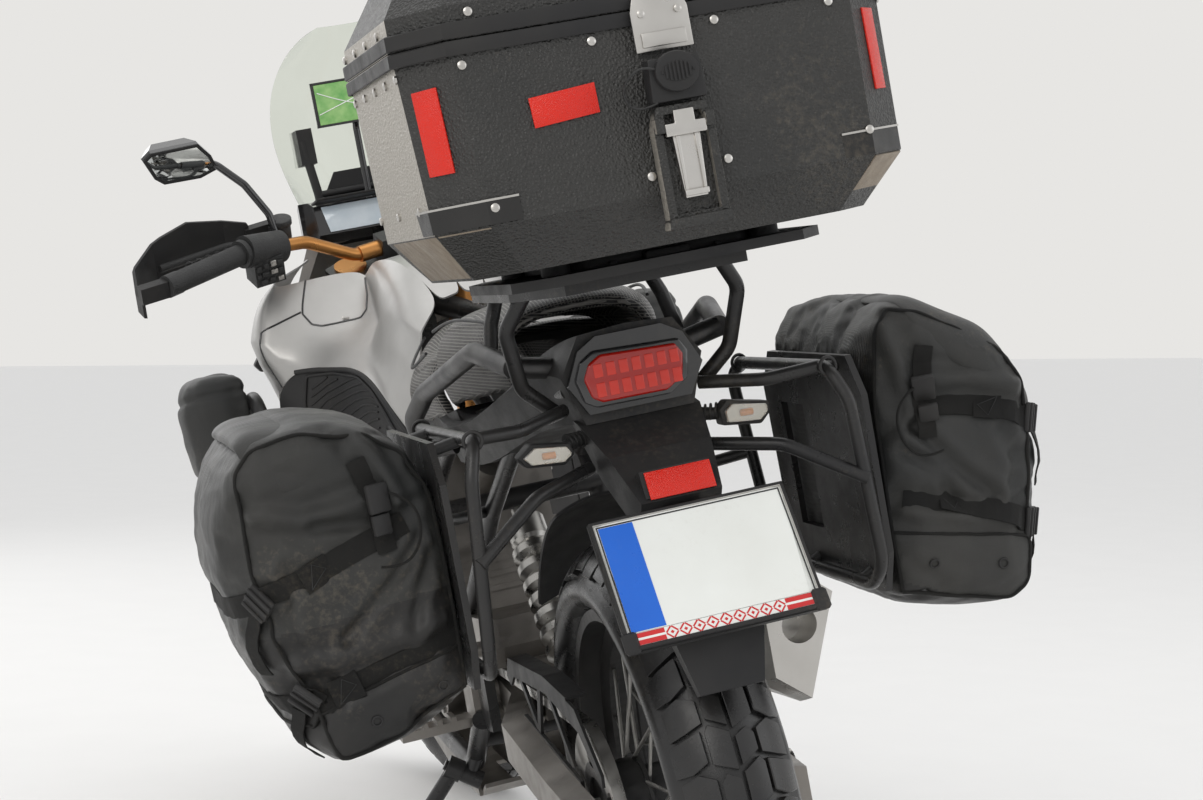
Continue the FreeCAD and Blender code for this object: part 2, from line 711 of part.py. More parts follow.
def make_tail_cowl():
    rows = [
        (446, [(0, 834), (118, 834), (146, 826), (128, 762)]),
        (700, [(0, 862), (100, 862), (124, 850), (104, 790)]),
        (860, [(0, 912), (78, 912), (98, 886), (84, 822)]),
        (955, [(0, 934), (58, 930), (86, 884), (66, 826)]),
    ]
    return loft([body_section(y, corners) for y, corners in rows])


def make_grab_rails():
    rail = tube([(128, 905, 905), (150, 800, 926), (178, 560, 872), (190, 498, 836), (178, 470, 790),
                 (140, 500, 792)], 13, 40)
    foot = rod((128, 900, 905), (84, 900, 896), 13)
    return pair(rail.fuse(foot))


def make_rear_rack():
    plate = level_plate([(-88, 690), (88, 690), (136, 780), (140, 1010), (104, 1130), (-104, 1130),
                         (-140, 1010),
                         (-136, 780)], 984, 996)
    windows = [level_plate([(-60, 740), (60, 740), (60, 800), (-60, 800)], 980, 1000),
               level_plate([(-94, 830), (-20, 830), (-20, 1000), (-94, 1000)], 980, 1000),
               level_plate([(20, 830), (94, 830), (94, 1000), (20, 1000)], 980, 1000),
               level_plate([(-70, 1030), (70, 1030), (54, 1096), (-54, 1096)], 980, 1000)]
    plate = plate.cut(join(windows))
    struts = []
    for side in (-1, 1):
        struts.append(tube([(side * 118, 985, 988), (side * 142, 962, 950), (side * 128, 930, 880),
                            (side * 92, 915, 846)], 9, 30))
        struts.append(tube([(side * 96, 740, 988), (side * 112, 742, 950), (side * 122, 748, 900)], 9, 30))
    return join([plate] + struts)


def case_section(z, half, front, rear, bevel):
    return [Vector(x, y, z) for x, y in (
        (half, front + bevel), (half, rear - bevel), (half - bevel, rear), (bevel - half, rear),
        (-half, rear - bevel), (-half, front + bevel), (bevel - half, front), (half - bevel, front))]


def case_profile(inset):
    """Sections of the case's body from its floor up: z, half width, front, rear, bevel."""
    grown = case_floor_inset
    return [
        case_section(case_floor_z + inset, case_half_width - grown - inset, case_front + grown * 0.6 + inset,
                     case_rear - grown - inset, case_bevel * 0.9),
        case_section(case_crease_z, case_half_width - 3 - inset, case_front + inset, case_rear - inset,
                     case_bevel),
        case_section(case_joint_z, case_half_width + 4 - inset, case_front + inset, case_rear - 14 - inset,
                     case_bevel),
    ]


def case_outside():
    rim_low = case_joint_z - 14
    rim = level_plate([(v.x * 1.012, v.y + (v.y - case_middle) * 0.008) for v in case_profile(0.0)[2]],
                      rim_low,
                      case_joint_z)
    return join([loft(case_profile(0.0), True), rim])


def make_case_body():
    shell = case_outside().cut(loft(case_profile(case_wall), True))
    hinges = []
    for x in (-120, 120):
        hinges.append(rod((x - 30, case_front - 6, case_joint_z), (x + 30, case_front - 6, case_joint_z), 4))
        hinges.append(block((x - 30, case_front - 10, case_joint_z - 14),
                            (x + 30, case_front + 1, case_joint_z - 2)))
    return join([shell] + hinges)


def make_case_lid():
    joint = case_joint_z + lid_gap
    half, rear = case_half_width + 4, case_rear - 14

    def sections(inset):
        return [
            case_section(joint, half - inset, case_front + inset, rear - inset, case_bevel),
            case_section(joint + 34, half - inset, case_front + inset, rear - inset, case_bevel),
            case_section(case_top_z - inset, half - 44 - inset, case_front + 36 + inset, rear - 40 - inset,
                         case_bevel * 0.8),
        ]
    outer = loft(sections(0.0), True)
    inner = loft(sections(case_wall), True)
    rim = level_plate([(v.x * 1.012, v.y + (v.y - case_middle) * 0.008) for v in sections(0.0)[0]], joint,
                      joint + 16)
    rails = []
    for side in (-1, 1):
        x = side * 214
        rails.append(tube([(x, 912, case_top_z - 26), (x, 918, case_top_z + 22), (x, 1150, case_top_z + 22),
                           (x, 1158, case_top_z - 26)], 7, 14))
        rails.append(rod((x, 912, case_top_z - 34), (x, 912, case_top_z - 6), 11))
        rails.append(rod((x, 1158, case_top_z - 34), (x, 1158, case_top_z - 6), 11))
    shell = join([outer, rim] + rails)
    return shell.cut(inner)


def make_case_base():
    outline = [(-150, 862), (150, 862), (176, 905), (176, 1130), (140, 1180), (-140, 1180), (-176, 1130),
               (-176, 905)]
    plate = level_plate(outline, 997, 1008)
    feet = [rod((x, y, 1008), (x, y, case_floor_z), 16) for x in (-120, 120) for y in (905, 1110)]
    return join([plate] + feet)


def make_case_latch():
    """Lock block on the rear face with its over-centre lever."""
    rear = case_rear
    bracket = side_plate([(rear, 1050), (rear + 14, 1052), (rear + 20, 1090), (rear + 16, 1160),
                          (rear + 24, 1190),
                          (rear + 22, 1240), (rear - 14, 1246), (rear - 6, 1090)], -34, 34)
    lever = side_plate([(rear + 18, 1082), (rear + 26, 1086), (rear + 24, 1172), (rear + 17, 1174)], -16, 16)
    return join([bracket, lever]).cut(case_outside())


def make_tail_light():
    outline = [(-82, 874), (-64, 912), (-40, 926), (40, 926), (64, 912), (82, 874), (62, 838), (-62, 838)]
    housing = cross_plate(outline, 938, lamp_y)
    lens = cross_plate([(-60, 878), (-46, 904), (46, 904), (60, 878), (44, 858), (-44, 858)], lamp_y,
                       lamp_y + 7)
    return join([housing, lens])


def make_plate_hanger():
    """Arm below the tail lamp that carries the plate, its holder, a reflector block and the lower flap."""
    arm_rows = [
        [(74, 905, 836), (74, 952, 826), (-74, 952, 826), (-74, 905, 836)],
        [(62, 962, 760), (62, 1010, 790), (-62, 1010, 790), (-62, 962, 760)],
        [(48, 1036, 700), (48, 1066, 738), (-48, 1066, 738), (-48, 1036, 700)],
    ]
    arm = loft([[Vector(*p) for p in row] for row in arm_rows], True)
    (top_y, top_z), (low_y, low_z) = plate_top, plate_low
    run_y, run_z = top_y - low_y, top_z - low_z
    length = math.hypot(run_y, run_z)
    across_y, across_z = run_z / length, -run_y / length
    half = plate_width / 2

    def holder(reach, back, front):
        up_y, up_z = run_y / length * reach, run_z / length * reach
        outline = [(top_y + up_y - across_y * back, top_z + up_z - across_z * back),
                   (low_y - up_y - across_y * back, low_z - up_z - across_z * back),
                   (low_y - up_y - across_y * front, low_z - up_z - across_z * front),
                   (top_y + up_y - across_y * front, top_z + up_z - across_z * front)]
        return side_plate(outline, -half - reach, half + reach)

    tray = holder(5, 9, 3)
    reflector = side_plate([(1030, 764), (1052, 772), (1064, 742), (1040, 734)], -41, 41)
    flap = loft([[Vector(x, y, z) for x, y, z in ((58, 1096, 604), (58, 1112, 612), (-58, 1112, 612),
                                                  (-58, 1096, 604))],
                 [Vector(x, y, z) for x, y, z in ((38, 1114, 522), (38, 1128, 526), (-38, 1128, 526),
                                                  (-38, 1114, 522))]], True)
    spine = side_plate([(1028, 706), (1066, 730), (1126, 616), (1108, 596), (1094, 604)], -24, 24)
    return join([arm, tray, reflector, flap, spine])


def make_number_plate():
    (top_y, top_z), (low_y, low_z) = plate_top, plate_low
    length = math.hypot(top_y - low_y, top_z - low_z)
    low_y += (top_y - low_y) / length * strip_height
    low_z += (top_z - low_z) / length * strip_height
    length -= strip_height
    back_y, back_z = (top_z - low_z) / length * 3.0, -(top_y - low_y) / length * 3.0
    front_y, front_z = back_y * (3.0 - plate_thickness) / 3.0, back_z * (3.0 - plate_thickness) / 3.0
    outline = [(top_y - back_y, top_z - back_z), (low_y - back_y, low_z - back_z),
               (low_y - front_y, low_z - front_z), (top_y - front_y, top_z - front_z)]
    return side_plate(outline, -plate_width / 2, plate_width / 2)


def make_indicators():
    lamps = []
    for side in (-1, 1):
        stalk = rod((side * 66, 940, 812), (side * 100, 952, 808), 8)
        outline = [(side * 98, 808), (side * 108, 822), (side * 148, 822), (side * 157, 808),
                   (side * 148, 794),
                   (side * 108, 794)]
        lamps.append(cross_plate(outline, 940, 970).fuse(stalk))
        front_stalk = rod((side * 150, -600, 900), (side * 222, -600, 900), 8)
        front_outline = [(side * 220, 900), (side * 230, 914), (side * 272, 914), (side * 280, 900),
                         (side * 272, 886), (side * 230, 886)]
        lamps.append(cross_plate(front_outline, -618, -590).fuse(front_stalk))
    return Part.makeCompound(lamps)


# Luggage carriers and bags

def make_pannier_racks():
    loop = tube([(214, 690, 838), (212, 1020, 842), (226, 1036, 800), (240, 1016, 600), (236, 980, 572),
                 (236, 680, 572), (232, 640, 610), (212, 650, 820), (214, 700, 838)], rack_tube_radius, 45)
    upper_stay = tube([(84, 930, 846), (150, 980, 838), (212, 1000, 842)], rack_tube_radius, 50)
    lower_stay = tube([(70, 950, 776), (150, 1000, 762), (234, 1032, 706)], rack_tube_radius, 50)
    front_stay = tube([(110, 470, 690), (170, 560, 700), (222, 646, 716)], rack_tube_radius, 50)
    board = side_plate([(668, 560), (980, 560), (1008, 610), (1012, 800), (980, 846), (700, 846), (660, 800)],
                       250, 258)
    board = board.cut(side_plate([(720, 620), (800, 620), (800, 780), (720, 780)], 240, 262))
    pegs = [rod((214, y, 838), (252, y, 832), 7) for y in (760, 940)]
    pegs += [rod((236, y, 572), (252, y, 580), 7) for y in (760, 940)]
    return pair(join([loop, upper_stay, lower_stay, front_stay, board] + pegs))


def make_panniers():
    def section(z, inner, outer, front, rear, corner):
        return [Vector(x, y, z) for x, y in (
            (inner, front), (outer - corner, front), (outer, front + corner), (outer, rear - corner),
            (outer - corner, rear), (inner + corner * 0.4, rear), (inner, rear - corner * 0.4))]
    rows = [
        (pannier_floor, pannier_inner + 6, pannier_outer - 34, pannier_front + 22, pannier_rear - 26, 26),
        (pannier_floor + 40, pannier_inner, pannier_outer - 6, pannier_front, pannier_rear - 4, 34),
        (pannier_floor + 230, pannier_inner, pannier_outer, pannier_front, pannier_rear, 38),
        (pannier_top - 66, pannier_inner + 4, pannier_outer - 14, pannier_front + 8, pannier_rear - 12, 40),
        (pannier_top - 22, pannier_inner + 34, pannier_outer - 64, pannier_front + 26, pannier_rear - 34, 30),
        (pannier_top, pannier_inner + 52, pannier_outer - 96, pannier_front + 34, pannier_rear - 44, 18),
    ]
    return pair(loft([section(*row) for row in rows], True))


def make_crash_bars():
    bars = []
    for side in (-1, 1):
        loop = [(side * 122, -300, 340), (side * 236, -350, 392), (side * 306, -404, 560),
                (side * bar_reach, -398, 720), (side * bar_reach, -350, 862), (side * bar_reach, -262, 850),
                (side * 300, -205, 700), (side * 230, -140, 640), (side * 134, -20, 770)]
        brace = [(side * 308, -400, 600), (side * 292, -200, 660)]
        bars.append(tube(loop, crash_bar_radius, 50).fuse(rod(brace[0], brace[1], crash_bar_radius)))
    return Part.makeCompound(bars)


def make_guard_bags():
    inner = bar_reach + crash_bar_radius + soft_gap
    rows = [
        (742, [(inner + 2, -400), (424, -392), (430, -300), (420, -268), (inner + 2, -276)]),
        (800, [(inner, -412), (436, -404), (444, -300), (432, -256), (inner, -262)]),
        (868, [(inner, -410), (432, -402), (442, -306), (428, -262), (inner, -268)]),
        (906, [(inner + 10, -386), (408, -380), (416, -312), (404, -282), (inner + 10, -286)]),
    ]
    return pair(loft([[Vector(x, y, z) for x, y in row] for z, row in rows], True))


# Swingarm, chain and exhaust

def make_swingarm():
    barrel = rod((-pivot_half_width, pivot_y, pivot_z), (pivot_half_width, pivot_y, pivot_z), 27)
    parts = [barrel]
    outer = swingarm_half_width
    inner = outer - swingarm_leg
    for side in (-1, 1):
        sections = []
        # y, x inside, x outside, z low, z high
        for y, x_in, x_out, z_low, z_high in (
                (212, 60, 100, 372, 426), (330, 58, 100, 358, 414), (460, inner, outer, 336, 404),
                (700, inner, outer, 306, 372), (880, inner, outer, 292, 358)):
            sections.append([Vector(side * x_in, y, z_low), Vector(side * x_out, y, z_low + 8),
                             Vector(side * x_out, y, z_high - 8), Vector(side * x_in, y, z_high)])
        parts.append(loft(sections, True))
    parts.append(block((-64, 300, 366), (64, 380, 408)))
    shape = join(parts)
    shape = shape.cut(disc(-200, 200, rear_axle.y, rear_axle.z, axle_radius))
    for side in (-1, 1):
        hole = rod((side * outer, 850, 325), (side * (outer - 18), 850, 325), stand_bolt_radius)
        shape = shape.cut(hole)
    return shape


def make_shock():
    start, end = Vector(0, 340, 408), Vector(0, 150, 640)
    along = end - start
    length = along.Length
    outline = [(0, 0), (20, 0), (20, length * 0.12)]
    turns = 7
    for number in range(turns):
        low = length * (0.12 + 0.66 * number / turns)
        step = length * 0.66 / turns
        outline += [(34, low + step * 0.3), (34, low + step * 0.7), (26, low + step)]
    outline += [(30, length * 0.8), (30, length * 0.92), (14, length * 0.92), (14, length), (0, length)]
    face = outline_face([Vector(r, 0, h) for r, h in outline])
    body = face.revolve(origin, Vector(0, 0, 1), 360)
    body.Placement = FreeCAD.Placement(start, FreeCAD.Rotation(Vector(0, 0, 1), along))
    return body


def chain_loop(extra):
    """Outline of (y, z) round both sprockets, extra outside their tips, as a wire."""
    front, rear = front_sprocket, Vector(chain_line, rear_axle.y, rear_axle.z)
    r_front = front_sprocket_radius + sprocket_gap + extra
    r_rear = rear_sprocket_radius + sprocket_gap + extra
    span = rear - front
    tilt = math.atan2(span.z, span.y)
    lift = math.acos((r_front - r_rear) / span.Length)

    def at(centre, radius, angle):
        return centre + Vector(0, radius * math.cos(angle), radius * math.sin(angle))

    up, down = tilt + lift, tilt - lift
    edges = [
        Part.makeLine(at(front, r_front, up), at(rear, r_rear, up)),
        Part.Arc(at(rear, r_rear, up), at(rear, r_rear, tilt), at(rear, r_rear, down)).toShape(),
        Part.makeLine(at(rear, r_rear, down), at(front, r_front, down)),
        Part.Arc(at(front, r_front, down), at(front, r_front, tilt + math.pi),
                 at(front, r_front, up)).toShape(),
    ]
    return Part.Wire(edges)


def make_chain():
    outer = Part.Face(chain_loop(chain_height)).extrude(Vector(chain_width, 0, 0))
    inner = Part.Face(chain_loop(0.0)).extrude(Vector(chain_width, 0, 0))
    band = outer.cut(inner)
    band.translate(Vector(-chain_width / 2, 0, 0))
    return band


def make_chain_guard():
    guard = side_plate([(392, 446), (420, 476), (640, 486), (800, 470), (884, 402), (880, 386), (800, 440),
                        (640, 462), (440, 452), (410, 434)], 108, 112)
    roof = side_plate([(420, 472), (640, 482), (760, 474), (760, 478), (640, 486), (420, 476)], 84, 112)
    braces = [
        side_plate([(470, 462), (486, 462), (560, 396), (544, 392)], 108, 112),
        side_plate([(600, 472), (616, 472), (560, 392), (544, 396)], 108, 112),
        side_plate([(640, 470), (656, 470), (740, 384), (726, 380)], 108, 112),
        side_plate([(470, 392), (760, 358), (764, 370), (472, 404)], 108, swingarm_half_width - swingarm_leg),
    ]
    return join([guard, roof] + braces)


def make_rear_axle():
    reach = swingarm_half_width + 14
    centre = rear_axle
    shaft = disc(-reach, reach, centre.y, centre.z, axle_radius, axle_bore_radius)
    nuts = []
    for side in (-1, 1):
        low, high = sorted((side * swingarm_half_width, side * (swingarm_half_width + 12)))
        nuts.append(disc(low, high, centre.y, centre.z, 19, axle_radius))
    spacers = []
    for side in (-1, 1):
        low, high = sorted((side * 98, side * (swingarm_half_width - swingarm_leg)))
        spacers.append(disc(low, high, centre.y, centre.z, 18, axle_radius))
    return join([shaft] + nuts + spacers)


def make_rear_caliper():
    body = side_plate([(690, 380), (700, 452), (742, 470), (764, 430), (742, 380)], -105, -74)
    rotor = disc(-93, -83, rear_axle.y, rear_axle.z, rear_disc_radius + 5)
    bracket = side_plate([(690, 360), (760, 352), (758, 400), (694, 408)], -116, -100)
    return join([body, bracket]).cut(rotor)


def make_exhaust_pipe():
    parts = []
    for side in (-1, 1):
        parts.append(tube([(side * 46, -224, 650), (side * 46, -280, 622), (side * 50, -312, 500),
                           (side * 46, -306, 330), (-16, -252, 256)], 19, 50))
    parts.append(tube([(-10, -262, 258), (-96, -150, 246), (-160, -20, 262), (-164, 150, 300),
                       (-168, 300, 366),
                       (-150, 500, 480)], 22, 80))
    return join(parts)


def make_muffler():
    rows = [
        (470, [(-108, 448), (-108, 500), (-160, 512), (-182, 480), (-150, 430)]),
        (540, [(-109, 430), (-109, 556), (-160, 566), (-196, 520), (-150, 404)]),
        (800, [(-109, 462), (-109, 582), (-160, 592), (-199, 557), (-147, 429)]),
        (900, [(-98, 470), (-98, 590), (-160, 600), (-200, 568), (-146, 436)]),
        (962, [(-102, 486), (-102, 590), (-158, 600), (-190, 572), (-142, 452)]),
    ]
    body = loft([[Vector(x, y, z) for x, z in row] for y, row in rows], True)
    outlet = rod((-142, 900, 536), (-142, 966, 542), 22)
    return body.cut(outlet)


def make_footpegs():
    parts = []
    for side in (-1, 1):
        low, high = sorted((side * 124, side * 134))
        hanger = side_plate([(120, 330), (190, 330), (200, 420), (130, 440)], low, high)
        peg = block((min(side * 134, side * 246), 128, 336), (max(side * 134, side * 246), 172, 350))
        teeth = [block((min(side * x, side * (x + 8)), 128, 350), (max(side * x, side * (x + 8)), 172, 357))
                 for x in range(160, 240, 22)]
        low, high = sorted((side * 122, side * 134))
        rear_hanger = side_plate([(240, 470), (262, 520), (430, 536), (470, 500), (452, 470), (400, 486),
                                  (290, 440), (262, 440)], low, high)
        rear_peg = rod((side * 130, 448, 500), (side * 226, 448, 508), 11)
        parts.append(join([hanger, peg] + teeth))
        parts.append(join([rear_hanger, rear_peg]))
    gear = tube([(118, 20, 440), (150, 0, 400), (152, -40, 340), (150, -62, 330)], 6, 20)
    gear_tip = rod((146, -60, 330), (196, -60, 332), 9)
    brake = tube([(-134, 130, 352), (-190, 40, 340), (-196, -20, 326), (-180, -72, 322)], 6, 20)
    brake_tip = block((-206, -84, 316), (-150, -52, 328))
    return Part.makeCompound(parts + [gear.fuse(gear_tip), brake.fuse(brake_tip)])


# Side stand

def upright_from_leaned(x, y, z):
    angle = math.radians(lean_angle)
    return Vector(x * math.cos(angle) - z * math.sin(angle), y, x * math.sin(angle) + z * math.cos(angle))


def make_side_stand(pitch, ground):
    """Leg from its pivot eye to a foot that lies flat on the ground."""
    foot_centre = upright_from_leaned(stand_foot_x, stand_foot_y, ground + stand_foot_thickness / 2)
    leg_end = foot_centre + Vector(0, 0, 6)
    mid = stand_pivot + (leg_end - stand_pivot) * 0.4 + Vector(10, 0, 6)
    leg = tube([stand_pivot, mid, leg_end], 12, 60)
    start = stand_pivot - stand_axis * (stand_eye / 2)
    eye = Part.makeCylinder(stand_eye_radius, stand_eye, start, stand_axis)
    foot = block((-34, -40, -stand_foot_thickness / 2), (34, 40, stand_foot_thickness / 2))
    foot.rotate(origin, axis_x, -pitch)
    foot.rotate(origin, Vector(0, 1, 0), -lean_angle)
    foot.translate(foot_centre)
    bore = Part.makeCylinder(stand_pin_radius + running_gap, 60, stand_pivot - stand_axis * 30, stand_axis)
    return join([leg, eye, foot]).cut(bore)


# Leaned stance: turn about Y to the rider's left, then pitch until both tyres touch the ground

def leaned(point):
    return lean_turn.multVec(point)


lean_turn = FreeCAD.Rotation(Vector(0, 1, 0), lean_angle)
steer_turn = FreeCAD.Rotation(axis_up, steer_rest)
front_centre = steer_base + steer_turn.multVec(front_axle - steer_base)
front_spin = lean_turn.multVec(steer_turn.multVec(axis_x))
rear_spin = lean_turn.multVec(axis_x)


def tyre_lows(pitch):
    turn = FreeCAD.Rotation(axis_x, pitch)
    lows = []
    for centre, spin, outer, width in ((front_centre, front_spin, front_tyre_radius, front_tyre_width),
                                       (rear_axle, rear_spin, rear_tyre_radius, rear_tyre_width)):
        lows.append(lowest_of_tyre(turn.multVec(leaned(centre)), outer, width, turn.multVec(spin).z))
    return lows


def solve_pitch():
    low, high = -5.0, 5.0
    for _ in range(50):
        middle = (low + high) / 2
        front_low, rear_low = tyre_lows(middle)
        if front_low < rear_low:
            high = middle
        else:
            low = middle
    return (low + high) / 2


pitch_angle = solve_pitch()
ground_z = tyre_lows(pitch_angle)[1]
stance_turn = FreeCAD.Rotation(axis_x, pitch_angle).multiply(lean_turn)


def build():
    nodes = {}
    steering = {
        "front_wheel": make_front_wheel(),
        "front_tyre": make_tyre(wheel_local, front_tyre_radius, front_tyre_width, front_rim_radius),
        "fork_yokes": make_fork_yokes(),
        "fork_legs": make_fork_legs(),
        "front_axle": make_front_axle(),
        "front_fender": make_front_fender(),
        "handlebar": make_handlebar(),
        "grips": make_grips(),
        "mirrors": make_mirrors(),
        "handguards": Part.makeCompound(make_handguards()),
    }
    for name, shape in steering.items():
        moved = shape.copy()
        moved.Placement = steer_place.multiply(steer_turned).multiply(shape.Placement)
        nodes[name] = moved

    fairing = make_fairing()
    insert = make_side_insert(fairing)
    nodes.update({
        "main_frame": make_main_frame(),
        "subframe": make_subframe(),
        "engine": make_engine(),
        "radiators": make_radiators(),
        "skid_plate": make_skid_plate(),
        "tank_cover": make_tank_cover(),
        "fairings": pair(fairing.cut(insert)),
        "side_inserts": pair(insert),
        "front_cowl": make_front_cowl(),
        "headlamps": make_headlamps(),
        "windscreen": make_windscreen(),
        "screen_brackets": make_screen_brackets(),
        "dash": make_dash(),
        "phone_holder": make_phone_holder(),
        "seat_rider": make_seat_rider(),
        "seat_pillion": make_seat_pillion(),
        "tail_cowl": make_tail_cowl(),
        "grab_rails": make_grab_rails(),
        "rear_rack": make_rear_rack(),
        "tail_light": make_tail_light(),
        "plate_hanger": make_plate_hanger(),
        "number_plate": make_number_plate(),
        "indicators": make_indicators(),
        "pannier_racks": make_pannier_racks(),
        "panniers": make_panniers(),
        "crash_bars": make_crash_bars(),
        "guard_bags": make_guard_bags(),
        "swingarm": make_swingarm(),
        "shock": make_shock(),
        "chain": make_chain(),
        "chain_guard": make_chain_guard(),
        "rear_axle": make_rear_axle(),
        "rear_caliper": make_rear_caliper(),
        "exhaust_pipe": make_exhaust_pipe(),
        "muffler": make_muffler(),
        "footpegs": make_footpegs(),
        "rear_wheel": make_rear_wheel(),
        "rear_tyre": make_tyre(rear_axle, rear_tyre_radius, rear_tyre_width, rear_rim_radius),
        "side_stand": make_side_stand(pitch_angle, ground_z),
    })
    case = {"case_base": make_case_base(), "case_body": make_case_body(), "case_lid": make_case_lid(),
            "case_latch": make_case_latch()}
    for name, shape in case.items():
        shape.translate(Vector(case_centre, 0, 0))
        nodes[name] = shape
    return nodes


# Where a piece gives way to a neighbour on its own body: piece, then what it is cut back by
gives_way = [
    ("fork_yokes", ["handlebar", "fork_legs"]),
    ("front_fender", ["fork_legs"]),
    ("fork_legs", ["front_axle"]),
    ("handguards", ["handlebar", "grips", "mirrors"]),
    ("mirrors", ["grips"]),
    ("subframe", ["main_frame"]),
    ("engine", ["main_frame", "subframe"]),
    ("radiators", ["main_frame", "engine", "crash_bars"]),
    ("crash_bars", ["main_frame"]),
    ("skid_plate", ["main_frame", "engine"]),
    ("exhaust_pipe", ["engine", "main_frame", "skid_plate"]),
    ("muffler", ["exhaust_pipe"]),
    ("tank_cover", ["main_frame"]),
    ("fairings", ["tank_cover", "main_frame", "crash_bars", "radiators", "front_cowl"]),
    ("side_inserts", ["tank_cover", "main_frame", "crash_bars"]),
    ("front_cowl", ["headlamps", "main_frame"]),
    ("screen_brackets", ["front_cowl", "windscreen", "main_frame"]),
    ("windscreen", ["front_cowl"]),
    ("dash", ["front_cowl", "screen_brackets", "main_frame"]),
    ("phone_holder", ["dash"]),
    ("seat_rider", ["tank_cover", "subframe"]),
    ("seat_pillion", ["seat_rider", "subframe"]),
    ("tail_cowl", ["subframe", "seat_pillion", "seat_rider", "tail_light", "rear_rack", "grab_rails"]),
    ("rear_rack", ["subframe"]),
    ("grab_rails", ["subframe", "rear_rack", "seat_pillion"]),
    ("case_base", ["rear_rack"]),
    ("plate_hanger", ["tail_cowl", "tail_light", "indicators"]),
    ("pannier_racks", ["subframe", "tail_cowl", "plate_hanger", "rear_rack"]),
    ("swingarm", ["rear_axle", "main_frame"]),
    ("shock", ["swingarm", "main_frame"]),
    ("rear_caliper", ["swingarm"]),
    ("chain_guard", ["swingarm", "chain"]),
    ("footpegs", ["main_frame", "swingarm", "engine", "subframe"]),
    ("indicators", ["tail_cowl", "front_cowl"]),
]


def seat_pieces(nodes):
    for name, neighbours in gives_way:
        for other in neighbours:
            if nodes[name].BoundBox.intersect(nodes[other].BoundBox):
                nodes[name] = nodes[name].cut(nodes[other])


def settle(nodes):
    """Lean and pitch every piece, then put the origin at the bottom centre of the whole."""
    whole = FreeCAD.BoundBox()
    for name, shape in nodes.items():
        moved = shape.copy()
        moved.Placement = FreeCAD.Placement(origin, stance_turn).multiply(shape.Placement)
        nodes[name] = moved
        whole.add(moved.optimalBoundingBox(False))
    shift = Vector(-whole.Center.x, -whole.Center.y, -ground_z)
    for shape in nodes.values():
        shape.translate(shift)
    return shift


def row_point(point, shift):
    return stance_turn.multVec(point) + shift


def report(shift):
    def show(label, vector):
        print(label, [round(v, 6) for v in (vector.x, vector.y, vector.z)])

    steer_axis = stance_turn.multVec(axis_up)
    show("shift", shift)
    print("pitch", round(pitch_angle, 5))
    show("steer_point", row_point(steer_place.multVec(Vector(0, 0, head_tube_low)), shift))
    show("steer_axis", steer_axis)
    show("front_axle", row_point(front_centre, shift))
    show("front_spin", stance_turn.multVec(steer_turn.multVec(axis_x)))
    show("rear_axle", row_point(rear_axle, shift))
    show("rear_spin", stance_turn.multVec(axis_x))
    show("stand_point", row_point(stand_pivot, shift))
    show("stand_axis", stance_turn.multVec(stand_axis))
    print("stand_angle", round(math.degrees(stand_down.getAngle(stand_folded)), 3))
    show("lid_point", row_point(Vector(case_centre, case_front - 6, case_joint_z), shift))
    show("lid_axis", stance_turn.multVec(axis_x))
    show("stand_bolt_left", row_point(Vector(swingarm_half_width, 850, 325), shift))
    show("stand_bolt_right", row_point(Vector(-swingarm_half_width, 850, 325), shift))


def main():
    nodes = build()
    seat_pieces(nodes)
    shift = settle(nodes)
    for name, shape in nodes.items():
        solids = shape.Solids
        whole = solids[0] if len(solids) == 1 else Part.makeCompound(solids)
        whole.exportStep("parts/" + name + ".step")
        print(name, len(solids), "solids", round(shape.Volume / 1000.0, 1), "cm3", shape.isValid())
    report(shift)


main()
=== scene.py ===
import json
import math

import bpy
from mathutils import Matrix, Vector, noise

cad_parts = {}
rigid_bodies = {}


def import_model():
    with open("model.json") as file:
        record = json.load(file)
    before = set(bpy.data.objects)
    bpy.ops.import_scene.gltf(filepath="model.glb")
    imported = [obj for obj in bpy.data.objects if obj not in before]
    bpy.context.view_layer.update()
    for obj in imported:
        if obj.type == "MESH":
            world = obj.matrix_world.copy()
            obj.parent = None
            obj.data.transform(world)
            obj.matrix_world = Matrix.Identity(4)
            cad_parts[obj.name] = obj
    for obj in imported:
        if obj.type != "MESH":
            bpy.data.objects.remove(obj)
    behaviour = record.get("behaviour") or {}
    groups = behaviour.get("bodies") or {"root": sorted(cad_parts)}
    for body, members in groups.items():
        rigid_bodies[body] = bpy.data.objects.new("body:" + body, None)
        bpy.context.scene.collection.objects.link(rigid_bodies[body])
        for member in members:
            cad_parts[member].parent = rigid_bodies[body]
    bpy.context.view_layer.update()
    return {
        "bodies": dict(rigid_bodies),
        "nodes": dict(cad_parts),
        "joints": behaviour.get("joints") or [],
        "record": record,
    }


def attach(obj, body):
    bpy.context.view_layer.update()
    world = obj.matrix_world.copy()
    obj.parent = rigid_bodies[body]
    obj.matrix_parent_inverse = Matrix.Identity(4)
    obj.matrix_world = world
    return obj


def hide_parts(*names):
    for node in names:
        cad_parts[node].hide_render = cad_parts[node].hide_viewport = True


# An adventure motorcycle on its side stand, seen from behind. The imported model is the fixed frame. Pieces are
# drawn on the upright machine (x to the rider's left, y rearward, z up, on the ground midway between the
# axles) or about its steering axis, in metres, and are then set into the leaned stance.

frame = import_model()
cadNodes = frame["nodes"]
joints = {joint["name"]: joint for joint in frame["record"]["behaviour"]["joints"]}
print("frame loaded:", len(cadNodes), "nodes")

geometry = {"rake": 27.5, "rearAxle": (0.0, 0.7875, 0.333), "headTubeLow": 0.640}


